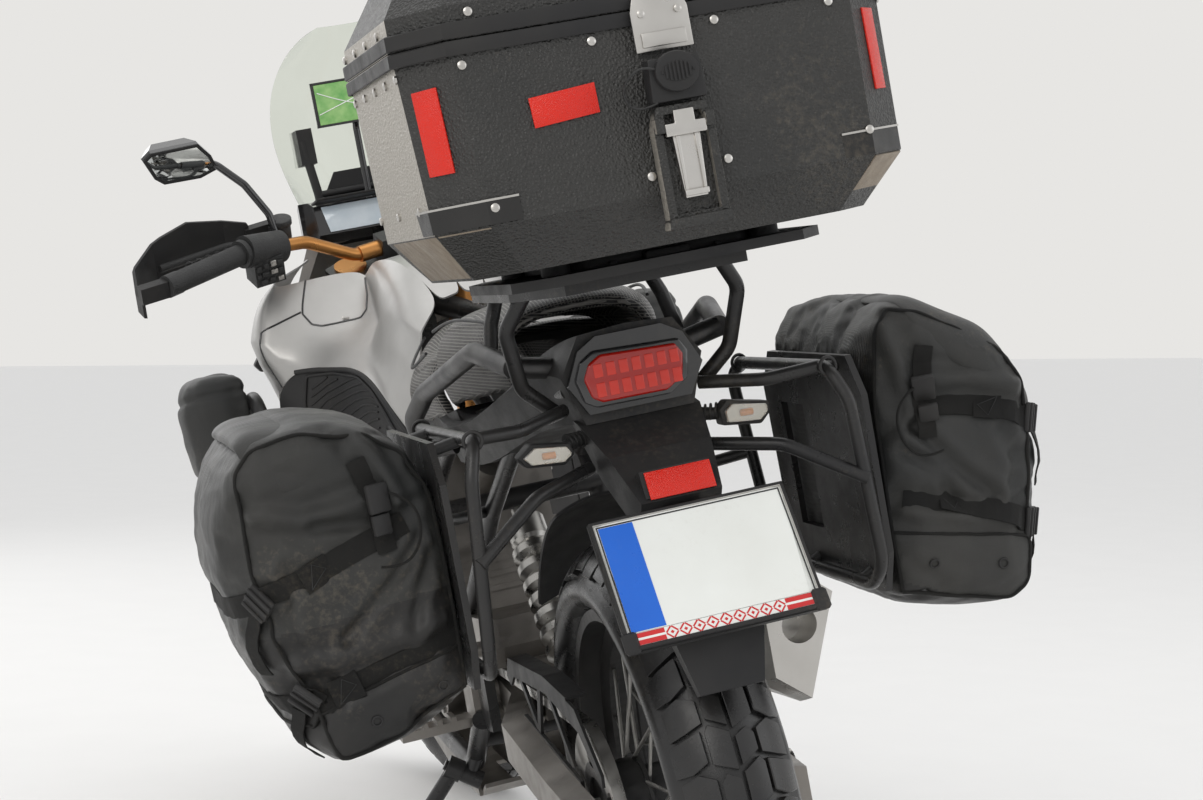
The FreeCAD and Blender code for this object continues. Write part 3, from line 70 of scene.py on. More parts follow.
def leanedSpaces():
    across = Vector(joints["rear_wheel_spin"]["axis"])
    along = Vector(joints["steering_turn"]["axis"])
    back = along.cross(across)
    rake = math.radians(geometry["rake"])
    rearward = along * math.sin(rake) + back * math.cos(rake)
    upward = along * math.cos(rake) - back * math.sin(rake)
    turn = Matrix((across, rearward, upward)).transposed()
    shift = Vector(joints["rear_wheel_spin"]["pos_m"]) - turn @ Vector(geometry["rearAxle"])
    barAcross = Vector(joints["front_wheel_spin"]["axis"])
    steerTurn = Matrix((barAcross, along.cross(barAcross), along)).transposed()
    steerOrigin = Vector(joints["steering_turn"]["pos_m"]) - along * geometry["headTubeLow"]
    upright = Matrix.Translation(shift) @ turn.to_4x4()
    return upright, Matrix.Translation(steerOrigin) @ steerTurn.to_4x4()


stance, steering = leanedSpaces()
leanTurn = stance.to_euler()  # for patterns that follow the upright machine


# Finishes: each is built from nodes on Object coordinates

def addNode(material, kind, **settings):
    node = material.node_tree.nodes.new("ShaderNode" + kind)
    for name, value in settings.items():
        setattr(node, name, value)
    return node


def wire(material, output, target):
    material.node_tree.links.new(output, target)


def coordinates(material, turned=False):
    place = addNode(material, "TexCoord").outputs["Object"]
    if not turned:
        return place
    mapping = addNode(material, "Mapping", vector_type="TEXTURE")
    mapping.inputs["Rotation"].default_value = leanTurn
    mapping.inputs["Location"].default_value = stance.translation
    wire(material, place, mapping.inputs["Vector"])
    return mapping.outputs["Vector"]


def noiseOn(material, place, scale, detail=4.0, roughness=0.55):
    node = addNode(material, "TexNoise")
    node.inputs["Scale"].default_value = scale
    node.inputs["Detail"].default_value = detail
    node.inputs["Roughness"].default_value = roughness
    wire(material, place, node.inputs["Vector"])
    return node.outputs["Fac"]


def mapped(material, value, low, high, outLow=0.0, outHigh=1.0):
    node = addNode(material, "MapRange")
    for name, number in (("From Min", low), ("From Max", high), ("To Min", outLow), ("To Max", outHigh)):
        node.inputs[name].default_value = number
    wire(material, value, node.inputs["Value"])
    return node.outputs["Result"]


def calculated(material, operation, first, second):
    node = addNode(material, "Math", operation=operation)
    for value, target in ((first, node.inputs[0]), (second, node.inputs[1])):
        if isinstance(value, (int, float)):
            target.default_value = value
        else:
            wire(material, value, target)
    return node.outputs["Value"]


def blended(material, share, first, second):
    node = addNode(material, "Mix", data_type="RGBA")
    wire(material, share, node.inputs[0])
    for value, target in ((first, node.inputs[6]), (second, node.inputs[7])):
        if isinstance(value, tuple):
            target.default_value = value + (1.0,)
        else:
            wire(material, value, target)
    return node.outputs[2]


def bumped(material, height, distance, strength=1.0, below=None):
    node = addNode(material, "Bump")
    node.inputs["Distance"].default_value = distance
    node.inputs["Strength"].default_value = strength
    wire(material, height, node.inputs["Height"])
    if below is not None:
        wire(material, below, node.inputs["Normal"])
    return node.outputs["Normal"]


# A plain weave, its density in threads per metre
def weaveHeight(material, place, threads):
    warp = addNode(material, "TexWave", bands_direction="X")
    weft = addNode(material, "TexWave", bands_direction="Z")
    for node in (warp, weft):
        node.inputs["Scale"].default_value = threads
        node.inputs["Distortion"].default_value = 0.6
        node.inputs["Detail"].default_value = 1.0
        wire(material, place, node.inputs["Vector"])
    return calculated(material, "MAXIMUM", warp.outputs["Fac"], weft.outputs["Fac"])


# A surface with slow colour drift, uneven gloss, a fine grain, and dust where it is asked for
def makeFinish(name, look):
    material = bpy.data.materials.new(name)
    material.use_nodes = True
    shader = material.node_tree.nodes["Principled BSDF"]
    place = coordinates(material, look.get("turned", False))
    drift = noiseOn(material, place, look.get("driftScale", 9.0))
    share = mapped(material, drift, 0.3, 0.7)
    colour = blended(material, share, look["colour"], look["second"])
    if "dust" in look:
        fine = noiseOn(material, place, 140.0, 6.0, 0.7)
        wide = noiseOn(material, place, 5.0, 3.0)
        both = calculated(material, "ADD", fine, wide)
        amount = mapped(material, both, 1.12, 1.5, 0.0, look["dust"] * 0.6)
        colour = blended(material, amount, colour, look.get("dustColour", (0.33, 0.27, 0.19)))
    wire(material, colour, shader.inputs["Base Color"])
    gloss = noiseOn(material, place, look.get("glossScale", 30.0), 5.0)
    wire(material, mapped(material, gloss, 0.3, 0.7, look["rough"][0], look["rough"][1]),
         shader.inputs["Roughness"])
    normal = None
    if "weave" in look:
        threads, depth = look["weave"]
        normal = bumped(material, weaveHeight(material, place, threads), depth)
    if "grain" in look:
        scale, depth = look["grain"]
        normal = bumped(material, noiseOn(material, place, scale, 3.0, 0.6), depth, 1.0, normal)
    if "pits" in look:
        scale, depth = look["pits"]
        cells = addNode(material, "TexVoronoi")
        cells.inputs["Scale"].default_value = scale
        wire(material, place, cells.inputs["Vector"])
        normal = bumped(material, cells.outputs["Distance"], depth, 1.0, normal)
    if normal is not None:
        wire(material, normal, shader.inputs["Normal"])
    for socket, value in look.get("sockets", {}).items():
        shader.inputs[socket].default_value = value
    return material


looks = {"satinSilver": {"colour": (0.42, 0.412, 0.398), "second": (0.38, 0.373, 0.36),
                         "rough": (0.36, 0.46), "grain": (900.0, 0.00006), "dust": 0.12,
                         "sockets": {"Metallic": 0.62, "Coat Weight": 0.25, "Coat Roughness": 0.25}},
         "mouldedBlack": {"colour": (0.016, 0.016, 0.017), "second": (0.026, 0.025, 0.024),
                          "rough": (0.42, 0.6), "grain": (1400.0, 0.0002), "dust": 0.22,
                          "sockets": {"Specular IOR Level": 0.3}},
         "glossBlack": {"colour": (0.008, 0.008, 0.009), "second": (0.014, 0.014, 0.015),
                        "rough": (0.1, 0.22), "grain": (60.0, 0.00008), "dust": 0.08,
                        "sockets": {"Coat Weight": 0.6}},
         "powderCoat": {"colour": (0.014, 0.014, 0.015), "second": (0.024, 0.023, 0.022),
                        "rough": (0.22, 0.4), "grain": (700.0, 0.00025), "dust": 0.2,
                        "sockets": {"Specular IOR Level": 0.38}},
         "castAlloy": {"colour": (0.31, 0.292, 0.272), "second": (0.21, 0.196, 0.18), "rough": (0.3, 0.5),
                       "grain": (500.0, 0.0003), "dust": 0.2, "sockets": {"Metallic": 1.0}},
         "brushedAlloy": {"colour": (0.58, 0.565, 0.54), "second": (0.47, 0.455, 0.43),
                          "rough": (0.24, 0.4), "grain": (240.0, 0.00012), "dust": 0.14,
                          "sockets": {"Metallic": 1.0}},
         "darkAlloy": {"colour": (0.055, 0.055, 0.058), "second": (0.09, 0.088, 0.085), "rough": (0.3, 0.5),
                       "grain": (600.0, 0.0003), "dust": 0.2, "sockets": {"Metallic": 0.9}},
         "bronzeAlloy": {"colour": (0.55, 0.27, 0.09), "second": (0.48, 0.22, 0.07), "rough": (0.25, 0.36),
                         "grain": (500.0, 0.0001), "sockets": {"Metallic": 1.0}},
         "steel": {"colour": (0.5, 0.49, 0.47), "second": (0.36, 0.35, 0.33), "rough": (0.2, 0.4),
                   "grain": (300.0, 0.0001), "sockets": {"Metallic": 1.0}},
         "wetRubber": {"colour": (0.010, 0.010, 0.011), "second": (0.020, 0.019, 0.018),
                       "rough": (0.12, 0.42), "driftScale": 14.0, "glossScale": 22.0,
                       "grain": (900.0, 0.0002), "dust": 0.1},
         "gripRubber": {"colour": (0.016, 0.016, 0.016), "second": (0.024, 0.024, 0.024),
                        "rough": (0.5, 0.7), "pits": (420.0, 0.0006), "dust": 0.1},
         "seatVinyl": {"colour": (0.014, 0.014, 0.015), "second": (0.022, 0.022, 0.022),
                       "rough": (0.4, 0.55), "grain": (650.0, 0.0005), "dust": 0.12},
         "bagCloth": {"colour": (0.019, 0.020, 0.020), "second": (0.034, 0.033, 0.030),
                      "rough": (0.34, 0.52), "driftScale": 7.0, "glossScale": 12.0,
                      "weave": (260.0, 0.00022), "grain": (420.0, 0.0003), "dust": 0.4,
                      "sockets": {"Specular IOR Level": 0.34}},
         "bagBase": {"colour": (0.012, 0.012, 0.012), "second": (0.020, 0.019, 0.018), "rough": (0.3, 0.48),
                     "grain": (900.0, 0.0004), "dust": 0.3, "sockets": {"Specular IOR Level": 0.35}},
         "webbing": {"colour": (0.014, 0.014, 0.014), "second": (0.024, 0.023, 0.021), "rough": (0.6, 0.8),
                     "weave": (520.0, 0.0006), "dust": 0.3, "sockets": {"Specular IOR Level": 0.25}},
         "dustyPlate": {"colour": (0.30, 0.25, 0.19), "second": (0.22, 0.18, 0.14), "rough": (0.45, 0.65),
                        "driftScale": 60.0, "grain": (800.0, 0.0006), "dust": 0.4,
                        "sockets": {"Metallic": 0.3}},
         "redReflector": {"colour": (0.68, 0.022, 0.008), "second": (0.58, 0.014, 0.006),
                          "rough": (0.12, 0.24), "pits": (700.0, 0.0006),
                          "sockets": {"Coat Weight": 0.2, "Coat Roughness": 0.08,
                                      "Specular IOR Level": 0.3}},
         "plateWhite": {"colour": (0.80, 0.815, 0.78), "second": (0.74, 0.75, 0.71), "rough": (0.28, 0.4),
                        "dust": 0.25},
         "plateBlue": {"colour": (0.006, 0.13, 0.62), "second": (0.005, 0.11, 0.56), "rough": (0.25, 0.36),
                       "dust": 0.1},
         "mapScreen": {"colour": (0.10, 0.34, 0.07), "second": (0.30, 0.52, 0.18), "rough": (0.08, 0.14),
                       "driftScale": 46.0, "grain": (30.0, 0.00002), "sockets": {"Coat Weight": 0.5}},
         "dashScreen": {"colour": (0.42, 0.50, 0.56), "second": (0.60, 0.66, 0.70), "rough": (0.06, 0.12),
                        "driftScale": 16.0, "grain": (30.0, 0.00002), "sockets": {"Coat Weight": 0.6}},
         "stripRed": {"colour": (0.60, 0.02, 0.02), "second": (0.52, 0.015, 0.018), "rough": (0.3, 0.42),
                      "dust": 0.1}}


# Clear, lamp or mirrored finishes: one colour, its roughness and the shader's other values
clearLooks = {
    "screenClear": ((0.74, 0.79, 0.70), 0.03, {"Transmission Weight": 1.0, "IOR": 1.25, "Alpha": 0.7}),
    "lampRed": ((0.40, 0.010, 0.005), 0.08, {"Transmission Weight": 0.15, "Coat Weight": 0.35}),
    "lampCell": ((0.58, 0.022, 0.008), 0.12, {"Coat Weight": 0.2}),
    "lampClear": ((0.95, 0.93, 0.86), 0.06, {"Transmission Weight": 0.8, "IOR": 1.45}),
    "mirrorGlass": ((0.82, 0.85, 0.84), 0.03, {"Metallic": 1.0}),
    "amberLamp": ((0.9, 0.32, 0.02), 0.2, {"Coat Weight": 0.4}),
}
finishes = {name: makeFinish(name, look) for name, look in looks.items()}
for name, (colour, roughness, sockets) in clearLooks.items():
    finishes[name] = makeFinish(name,
                                {"colour": colour, "second": colour, "rough": (roughness, roughness + 0.04),
                                 "grain": (30.0, 0.00005), "sockets": sockets})


# Textured coat all over, with bare metal on the faces that look straight to the sides
def granite(name, look, sideColour):
    material = makeFinish(name, look)
    shader = material.node_tree.nodes["Principled BSDF"]
    facing = addNode(material, "VectorMath", operation="DOT_PRODUCT")
    wire(material, addNode(material, "TexCoord").outputs["Normal"], facing.inputs[0])
    facing.inputs[1].default_value = Vector(joints["rear_wheel_spin"]["axis"])
    across = calculated(material, "ABSOLUTE", facing.outputs["Value"], 0.0)
    bare = mapped(material, across, 0.93, 0.96)
    old = shader.inputs["Base Color"].links[0].from_socket
    wire(material, blended(material, bare, old, sideColour), shader.inputs["Base Color"])
    wire(material, mapped(material, bare, 0.0, 1.0, 0.0, 0.55), shader.inputs["Metallic"])
    return material


finishes["caseCoat"] = granite("caseCoat",
                               {"colour": (0.014, 0.014, 0.013), "second": (0.026, 0.025, 0.023),
                                "rough": (0.3, 0.55), "driftScale": 6.0, "glossScale": 220.0,
                                "grain": (260.0, 0.0016), "pits": (330.0, 0.0012), "dust": 0.3},
                               (0.36, 0.335, 0.295))


# A dark rim and hub with pale spokes between them, told apart by the distance from the axle
def wheelFinish(name, axle, axis, rimRadius, hubRadius):
    material = makeFinish(name, looks["darkAlloy"])
    shader = material.node_tree.nodes["Principled BSDF"]
    place = addNode(material, "TexCoord").outputs["Object"]
    offset = addNode(material, "VectorMath", operation="SUBTRACT")
    wire(material, place, offset.inputs[0])
    offset.inputs[1].default_value = axle
    crossing = addNode(material, "VectorMath", operation="CROSS_PRODUCT")
    wire(material, offset.outputs["Vector"], crossing.inputs[0])
    crossing.inputs[1].default_value = axis
    length = addNode(material, "VectorMath", operation="LENGTH")
    wire(material, crossing.outputs["Vector"], length.inputs[0])
    inRim = mapped(material, length.outputs["Value"], rimRadius - 0.024, rimRadius - 0.022)
    inHub = mapped(material, length.outputs["Value"], hubRadius + 0.002, hubRadius, 0.0, 1.0)
    dark = calculated(material, "MAXIMUM", inRim, inHub)
    old = shader.inputs["Base Color"].links[0].from_socket
    wire(material, blended(material, dark, (0.42, 0.41, 0.39), old), shader.inputs["Base Color"])
    return material


for wheelName, jointName, rimRadius, hubRadius in (("front_wheel", "front_wheel_spin", 0.272, 0.042),
                                                   ("rear_wheel", "rear_wheel_spin", 0.236, 0.062)):
    finishes[wheelName] = wheelFinish(wheelName + "Finish", joints[jointName]["pos_m"],
                                      joints[jointName]["axis"], rimRadius, hubRadius)

cadFinish = {"satinSilver": ["tank_cover", "fairings", "front_cowl", "front_fender"],
             "mouldedBlack": ["side_inserts", "screen_brackets", "tail_cowl", "plate_hanger", "case_base",
                              "case_latch", "handguards", "chain_guard"],
             "glossBlack": ["dash", "phone_holder", "mirrors", "tail_light", "indicators"],
             "powderCoat": ["main_frame", "subframe", "rear_rack", "pannier_racks", "crash_bars",
                            "side_stand"],
             "castAlloy": ["engine", "rear_caliper", "swingarm", "footpegs", "skid_plate"],
             "brushedAlloy": ["muffler"], "darkAlloy": ["radiators", "grab_rails", "fork_yokes"],
             "bronzeAlloy": ["handlebar", "fork_legs"],
             "steel": ["chain", "shock", "rear_axle", "front_axle", "exhaust_pipe"],
             "wetRubber": ["front_tyre", "rear_tyre"], "gripRubber": ["grips"],
             "seatVinyl": ["seat_rider", "seat_pillion"], "bagCloth": ["panniers", "guard_bags"],
             "caseCoat": ["case_body", "case_lid"], "screenClear": ["windscreen"],
             "lampClear": ["headlamps"], "plateWhite": ["number_plate"], "front_wheel": ["front_wheel"],
             "rear_wheel": ["rear_wheel"]}
for finishName, names in cadFinish.items():
    for nodeName in names:
        cadNodes[nodeName].data.materials.clear()
        cadNodes[nodeName].data.materials.append(finishes[finishName])
print("finishes made:", len(finishes))


# Modelling helpers

def deselect():
    if bpy.context.mode != "OBJECT":
        bpy.ops.object.mode_set(mode="OBJECT")
    bpy.ops.object.select_all(action="DESELECT")


def pickOnly(piece):
    deselect()
    piece.select_set(True)
    bpy.context.view_layer.objects.active = piece


# Adds one modifier with the given settings and applies it
def modified(piece, kind, **settings):
    modifier = piece.modifiers.new("change", kind)
    for name, value in settings.items():
        setattr(modifier, name, value)
    pickOnly(piece)
    bpy.ops.object.modifier_apply(modifier=modifier.name)
    return piece


def bevelEdges(piece, width, segments=2, angle=30.0):
    return modified(piece, "BEVEL", width=width, segments=segments, limit_method="ANGLE",
                    angle_limit=math.radians(angle))


def walled(piece, thickness, offset=-1.0):
    return modified(piece, "SOLIDIFY", thickness=thickness, offset=offset)


def subdivided(piece, levels):
    return modified(piece, "SUBSURF", levels=levels, render_levels=levels)


def evened(piece, size):
    return modified(piece, "REMESH", mode="VOXEL", voxel_size=size)


# Opens a piece in edit mode with the faces of the given numbers picked, or all of it
def editing(piece, faces=None):
    pickOnly(piece)
    bpy.ops.object.mode_set(mode="EDIT")
    bpy.ops.mesh.select_all(action="SELECT" if faces is None else "DESELECT")
    if faces is not None:
        bpy.ops.object.mode_set(mode="OBJECT")
        for index in faces:
            piece.data.polygons[index].select = True
        bpy.ops.object.mode_set(mode="EDIT")


def extrudeBy(push):
    bpy.ops.mesh.extrude_region_move(TRANSFORM_OT_translate={"value": push})


# Merges corners that meet and turns all faces outwards
def cleaned(piece, gap=0.00002):
    editing(piece)
    bpy.ops.mesh.remove_doubles(threshold=gap)
    bpy.ops.mesh.normals_make_consistent(inside=False)
    bpy.ops.object.mode_set(mode="OBJECT")
    return piece


# Turns a sheet over if its faces look away from the given direction
def facing(piece, way):
    if sum(face.normal.dot(Vector(way)) for face in piece.data.polygons) < 0:
        piece.data.flip_normals()
    return piece


# Sinks a panel into the largest face that looks rearward
def sunkFront(piece, border, depth):
    front = max(piece.data.polygons, key=lambda face: face.area * (face.normal.y > 0.9))
    editing(piece, [front.index])
    bpy.ops.mesh.inset(thickness=border)
    extrudeBy((0, -depth, 0))
    bpy.ops.object.mode_set(mode="OBJECT")


def newPiece(name):
    piece = bpy.context.object
    piece.name = name
    piece.data.name = name
    return piece


def block(name, low, high, bevel=0.0, segments=2):
    deselect()
    centre = (Vector(low) + Vector(high)) / 2
    bpy.ops.mesh.primitive_cube_add(size=1, location=centre)
    piece = newPiece(name)
    piece.scale = Vector(high) - Vector(low)
    bpy.ops.object.transform_apply(location=True, rotation=True, scale=True)
    if bevel:
        bevelEdges(piece, bevel, segments)
    return piece


def axisTurn(direction):
    return Vector(direction).to_track_quat("Z", "Y")


mirrored = Matrix.Scale(-1, 4, (1, 0, 0))


def rod(name, start, end, radius, sides=16, bevel=0.0, tip=None):
    deselect()
    start, end = Vector(start), Vector(end)
    bpy.ops.mesh.primitive_cone_add(vertices=sides, radius1=radius, radius2=radius if tip is None else tip,
                                    depth=(end - start).length, location=(start + end) / 2,
                                    rotation=axisTurn(end - start).to_euler())
    piece = newPiece(name)
    bpy.ops.object.transform_apply(location=True, rotation=True, scale=True)
    if bevel:
        bevelEdges(piece, bevel, 2, 50.0)
    return piece


# A flat outline of 3D corners, extruded by the vector push
def outlinePlate(name, corners, push, bevel=0.0, segments=2):
    deselect()
    bpy.ops.mesh.primitive_circle_add(vertices=len(corners), radius=0.01, fill_type="NGON")
    piece = newPiece(name)
    for vertex, corner in zip(piece.data.vertices, corners):
        vertex.co = corner
    editing(piece)
    extrudeBy(push)
    bpy.ops.mesh.select_all(action="SELECT")
    bpy.ops.mesh.normals_make_consistent(inside=False)
    bpy.ops.object.mode_set(mode="OBJECT")
    if bevel:
        bevelEdges(piece, bevel, segments)
    return piece


# A sheet through rows of points, each row with as many points as the next
def netPiece(name, rows, thickness=0.0, offset=-1.0, closed=False):
    if closed:
        rows = [list(row) + [row[0]] for row in rows]
    columns, lines = len(rows[0]) - 1, len(rows) - 1
    deselect()
    bpy.ops.mesh.primitive_grid_add(x_subdivisions=columns, y_subdivisions=lines, size=1)
    piece = newPiece(name)
    for vertex in piece.data.vertices:
        vertex.co = rows[round((vertex.co.y + 0.5) * lines)][round((vertex.co.x + 0.5) * columns)]
    if closed:
        cleaned(piece, 0.00001)
    return walled(piece, thickness, offset) if thickness else piece


def curveTube(name, points, radius, resolution=4, sides=3, cyclic=False):
    deselect()
    bpy.ops.curve.primitive_nurbs_path_add()
    piece = newPiece(name)
    curve = piece.data
    curve.splines.clear()
    spline = curve.splines.new("NURBS")
    spline.points.add(len(points) - 1)
    for point, place in zip(spline.points, points):
        point.co = (*place, 1.0)
    spline.use_cyclic_u = cyclic
    spline.use_endpoint_u = not cyclic
    spline.order_u = 3
    spline.resolution_u = resolution
    curve.bevel_depth = radius
    curve.bevel_resolution = sides
    curve.use_fill_caps = True
    pickOnly(piece)
    bpy.ops.object.convert(target="MESH")
    return bpy.context.object


def joined(name, pieces):
    deselect()
    for piece in pieces:
        piece.select_set(True)
    bpy.context.view_layer.objects.active = pieces[0]
    if len(pieces) > 1:
        bpy.ops.object.join()
    return newPiece(name)


def copied(piece, matrix):
    pickOnly(piece)
    bpy.ops.object.duplicate()
    twin = bpy.context.object
    twin.data.transform(matrix)
    if matrix.determinant() < 0:
        twin.data.flip_normals()
    return twin


def withMirror(name, piece):
    return joined(name, [piece, copied(piece, mirrored)])


# Sets a finished piece into the leaned stance or onto the turned steering, with its finish, on its body
def settle(piece, finish, body="frame", smooth=35.0, replaced=()):
    pickOnly(piece)
    bpy.ops.object.transform_apply(location=True, rotation=True, scale=True)
    piece.data.transform(steering if body in ("steering", "front_wheel") else stance)
    piece.data.materials.clear()
    piece.data.materials.append(finishes[finish])
    bpy.ops.object.shade_smooth_by_angle(angle=math.radians(smooth))
    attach(piece, body)
    if replaced:
        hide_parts(*replaced)
    return piece


# A screw head: a socket cap, a hexagon or a low rivet dome, standing on centre
def boltHead(centre, outward, radius, height=None, kind="socket"):
    outward = Vector(outward).normalized()
    height = height or radius * 0.9
    deselect()
    sides = 6 if kind == "hexagon" else 16
    bpy.ops.mesh.primitive_cylinder_add(vertices=sides, radius=radius, depth=height,
                                        location=Vector(centre) + outward * height / 2,
                                        rotation=axisTurn(outward).to_euler())
    piece = bpy.context.object
    bpy.ops.object.transform_apply(location=True, rotation=True, scale=True)
    editing(piece, [face.index for face in piece.data.polygons if face.normal.dot(outward) > 0.9])
    if kind == "rivet":
        bpy.ops.mesh.inset(thickness=radius * 0.3)
        bpy.ops.transform.translate(value=outward * height * 0.35)
        bpy.ops.mesh.inset(thickness=radius * 0.35)
        bpy.ops.transform.translate(value=outward * height * 0.15)
    else:
        bpy.ops.mesh.inset(thickness=radius * 0.18)
        bpy.ops.transform.translate(value=outward * height * 0.12)
        bpy.ops.mesh.inset(thickness=radius * 0.28)
        extrudeBy(-outward * height * 0.5)
    bpy.ops.object.mode_set(mode="OBJECT")
    return piece


def boltSet(name, places, radius, finish, body="frame", kind="socket", height=None):
    heads = [boltHead(centre, outward, radius, height, kind) for centre, outward in places]
    return settle(joined(name, heads), finish, body)


# Tyres: a carcass, and tread blocks drawn flat as (along, across), repeated and wrapped round the crown

rearTyre = {"centre": (0.0, 0.7875, 0.333), "radius": 0.333, "width": 0.150, "rim": 0.247, "pitches": 22,
            "depth": 0.0075, "grooveWidth": 0.0045}
frontTyre = {"centre": (0.0, -0.060, 0.0), "radius": 0.347, "width": 0.090, "rim": 0.283, "pitches": 30,
             "depth": 0.0055, "grooveWidth": 0.0035}
treadBlocks = [
    [(0.03, 0.03), (0.50, 0.03), (0.64, 0.30), (0.56, 0.37), (0.16, 0.37)],
    [(0.58, 0.03), (0.93, 0.03), (1.02, 0.22), (0.92, 0.31), (0.72, 0.31)],
    [(0.20, 0.43), (0.60, 0.43), (0.55, 0.70), (0.50, 0.97), (0.10, 0.97), (0.10, 0.68)],
    [(0.68, 0.37), (0.98, 0.37), (1.08, 0.60), (1.00, 0.90), (0.58, 0.90), (0.62, 0.62)],
]


# The crown's radius across the tread is a little more than half the tyre's width
def crownRadius(tyre):
    return tyre["width"] / 2 * 1.06


def crownPoint(tyre, along, across, height):
    crown = crownRadius(tyre)
    turn, lean = along / tyre["radius"], across / crown
    radius = tyre["radius"] - crown + (crown + height) * math.cos(lean)
    x, y, z = tyre["centre"]
    return Vector((x + (crown + height) * math.sin(lean), y + radius * math.cos(turn), z
                   + radius * math.sin(turn)))


def carcassProfile(tyre):
    half, depth = tyre["width"] / 2, tyre["depth"]
    crown = crownRadius(tyre)
    side = []
    for step in range(9):
        lean = math.asin(half * 0.94 / crown) * step / 8
        low = depth if step < 8 else depth * 0.3
        side.append(((crown - low) * math.sin(lean), tyre["radius"] - crown + (crown - low) * math.cos(lean)))
    shoulder, rim = side[-1][1], tyre["rim"]
    for share, bulge in ((0.2, 0.985), (0.4, 0.995), (0.6, 0.97), (0.8, 0.89), (0.9, 0.80), (0.97, 0.71)):
        side.append((half * bulge, shoulder + (rim - shoulder) * share))
    side.append((half * 0.64, rim - 0.001))
    return side + [(-x, r) for x, r in reversed(side[1:])]


def makeTyre(name, tyre, body):
    profile = carcassProfile(tyre)
    deselect()
    bpy.ops.mesh.primitive_torus_add(major_segments=120, minor_segments=len(profile), major_radius=0.3,
                                     minor_radius=0.05)
    carcass = newPiece(name)
    x, y, z = tyre["centre"]
    for index, vertex in enumerate(carcass.data.vertices):
        turn = 2 * math.pi * (index // len(profile)) / 120
        out, radius = profile[index % len(profile)]
        vertex.co = (x + out, y + radius * math.cos(turn), z + radius * math.sin(turn))
    pitch = 2 * math.pi * tyre["radius"] / tyre["pitches"]
    reach = crownRadius(tyre) * math.radians(60)
    blocks = []
    for side in (1, -1):
        for corners in treadBlocks:
            outline = [(pitch * (s + (0.5 if side < 0 else 0.0)), side * v * reach, 0.0) for s, v in corners]
            part = outlinePlate(name + "Block", outline, (0, 0, -tyre["depth"] - 0.001))
            editing(part)
            cuts = [((0, side * reach * step / 9, 0), (0, 1, 0)) for step in range(1, 9)]
            cuts += [((pitch * step / 9, 0, 0), (1, 0, 0)) for step in range(1, 16)]
            for place, way in cuts:
                bpy.ops.mesh.select_all(action="SELECT")
                bpy.ops.mesh.bisect(plane_co=place, plane_no=way)
            bpy.ops.object.mode_set(mode="OBJECT")
            bevelEdges(part, 0.0014, 1, 60.0)
            blocks.append(part)
    tread = joined(name + "Tread", blocks)
    modified(tread, "ARRAY", count=tyre["pitches"], use_relative_offset=False, use_constant_offset=True,
             constant_offset_displace=(pitch, 0, 0))
    for vertex in tread.data.vertices:
        vertex.co = crownPoint(tyre, *vertex.co)
    cleaned(tread)
    whole = joined(name, [cleaned(carcass), tread])
    return settle(whole, "wetRubber", body, smooth=30.0, replaced=[body.replace("wheel", "tyre")])


makeTyre("rearTyre", rearTyre, "rear_wheel")
makeTyre("frontTyre", frontTyre, "front_wheel")
print("tyres made")


# Top case, in millimetre figures turned to metres by mm()

def mm(*values):
    return tuple(value / 1000 for value in values)


case = {"centre": -14.5, "half": 262, "front": 850, "rear": 1250, "bevel": 50, "floor": 1020, "crease": 1073,
        "joint": 1262, "top": 1362, "rivet": 4.6}


def caseRear(z):
    share = max(0.0, (z - case["crease"]) / (case["joint"] - case["crease"]))
    if z < case["crease"]:
        return case["rear"] - 42 * (case["crease"] - z) / (case["crease"] - case["floor"])
    return case["rear"] - 14 * min(share, 1.0)


def caseHalf(z):
    if z < case["crease"]:
        return case["half"] - 3 - 39 * (case["crease"] - z) / (case["crease"] - case["floor"])
    return case["half"] - 3 + 7 * min(1.0, (z - case["crease"]) / (case["joint"] - case["crease"]))


# A point on the case's wall from behind, x from its middle: on the rear face, the bevel or the side face
def caseWall(x, z, proud=0.0, along=None):
    half, rear, side, centre = caseHalf(z), caseRear(z), 1 if x >= 0 else -1, case["centre"]
    if along is not None:
        return mm(centre + side * (half + proud), along, z)
    inner = half - case["bevel"]
    if abs(x) <= inner:
        return mm(centre + x, rear + proud, z)
    return mm(centre + x + side * proud * 0.707, rear + inner - abs(x) + proud * 0.707, z)


def wallPatch(name, corners, thickness, bevel=0.5):
    low = [caseWall(x - case["centre"], z, 0.05) for x, z in corners]
    high = [caseWall(x - case["centre"], z, thickness) for x, z in corners]
    push = sum((Vector(b) - Vector(a) for a, b in zip(low, high)), Vector()) / len(low)
    return outlinePlate(name, low, push, bevel / 1000, 2)


reflectors = [wallPatch("reflector", corners, 2.2) for corners in (
    [(61, 1166), (131, 1161), (132, 1192), (61, 1197)],
    [(216, 1132), (238, 1132), (240, 1219), (218, 1220)],
    [(-245, 1140), (-263, 1140), (-264, 1226), (-246, 1227)])]
settle(joined("caseReflectors", reflectors), "redReflector")

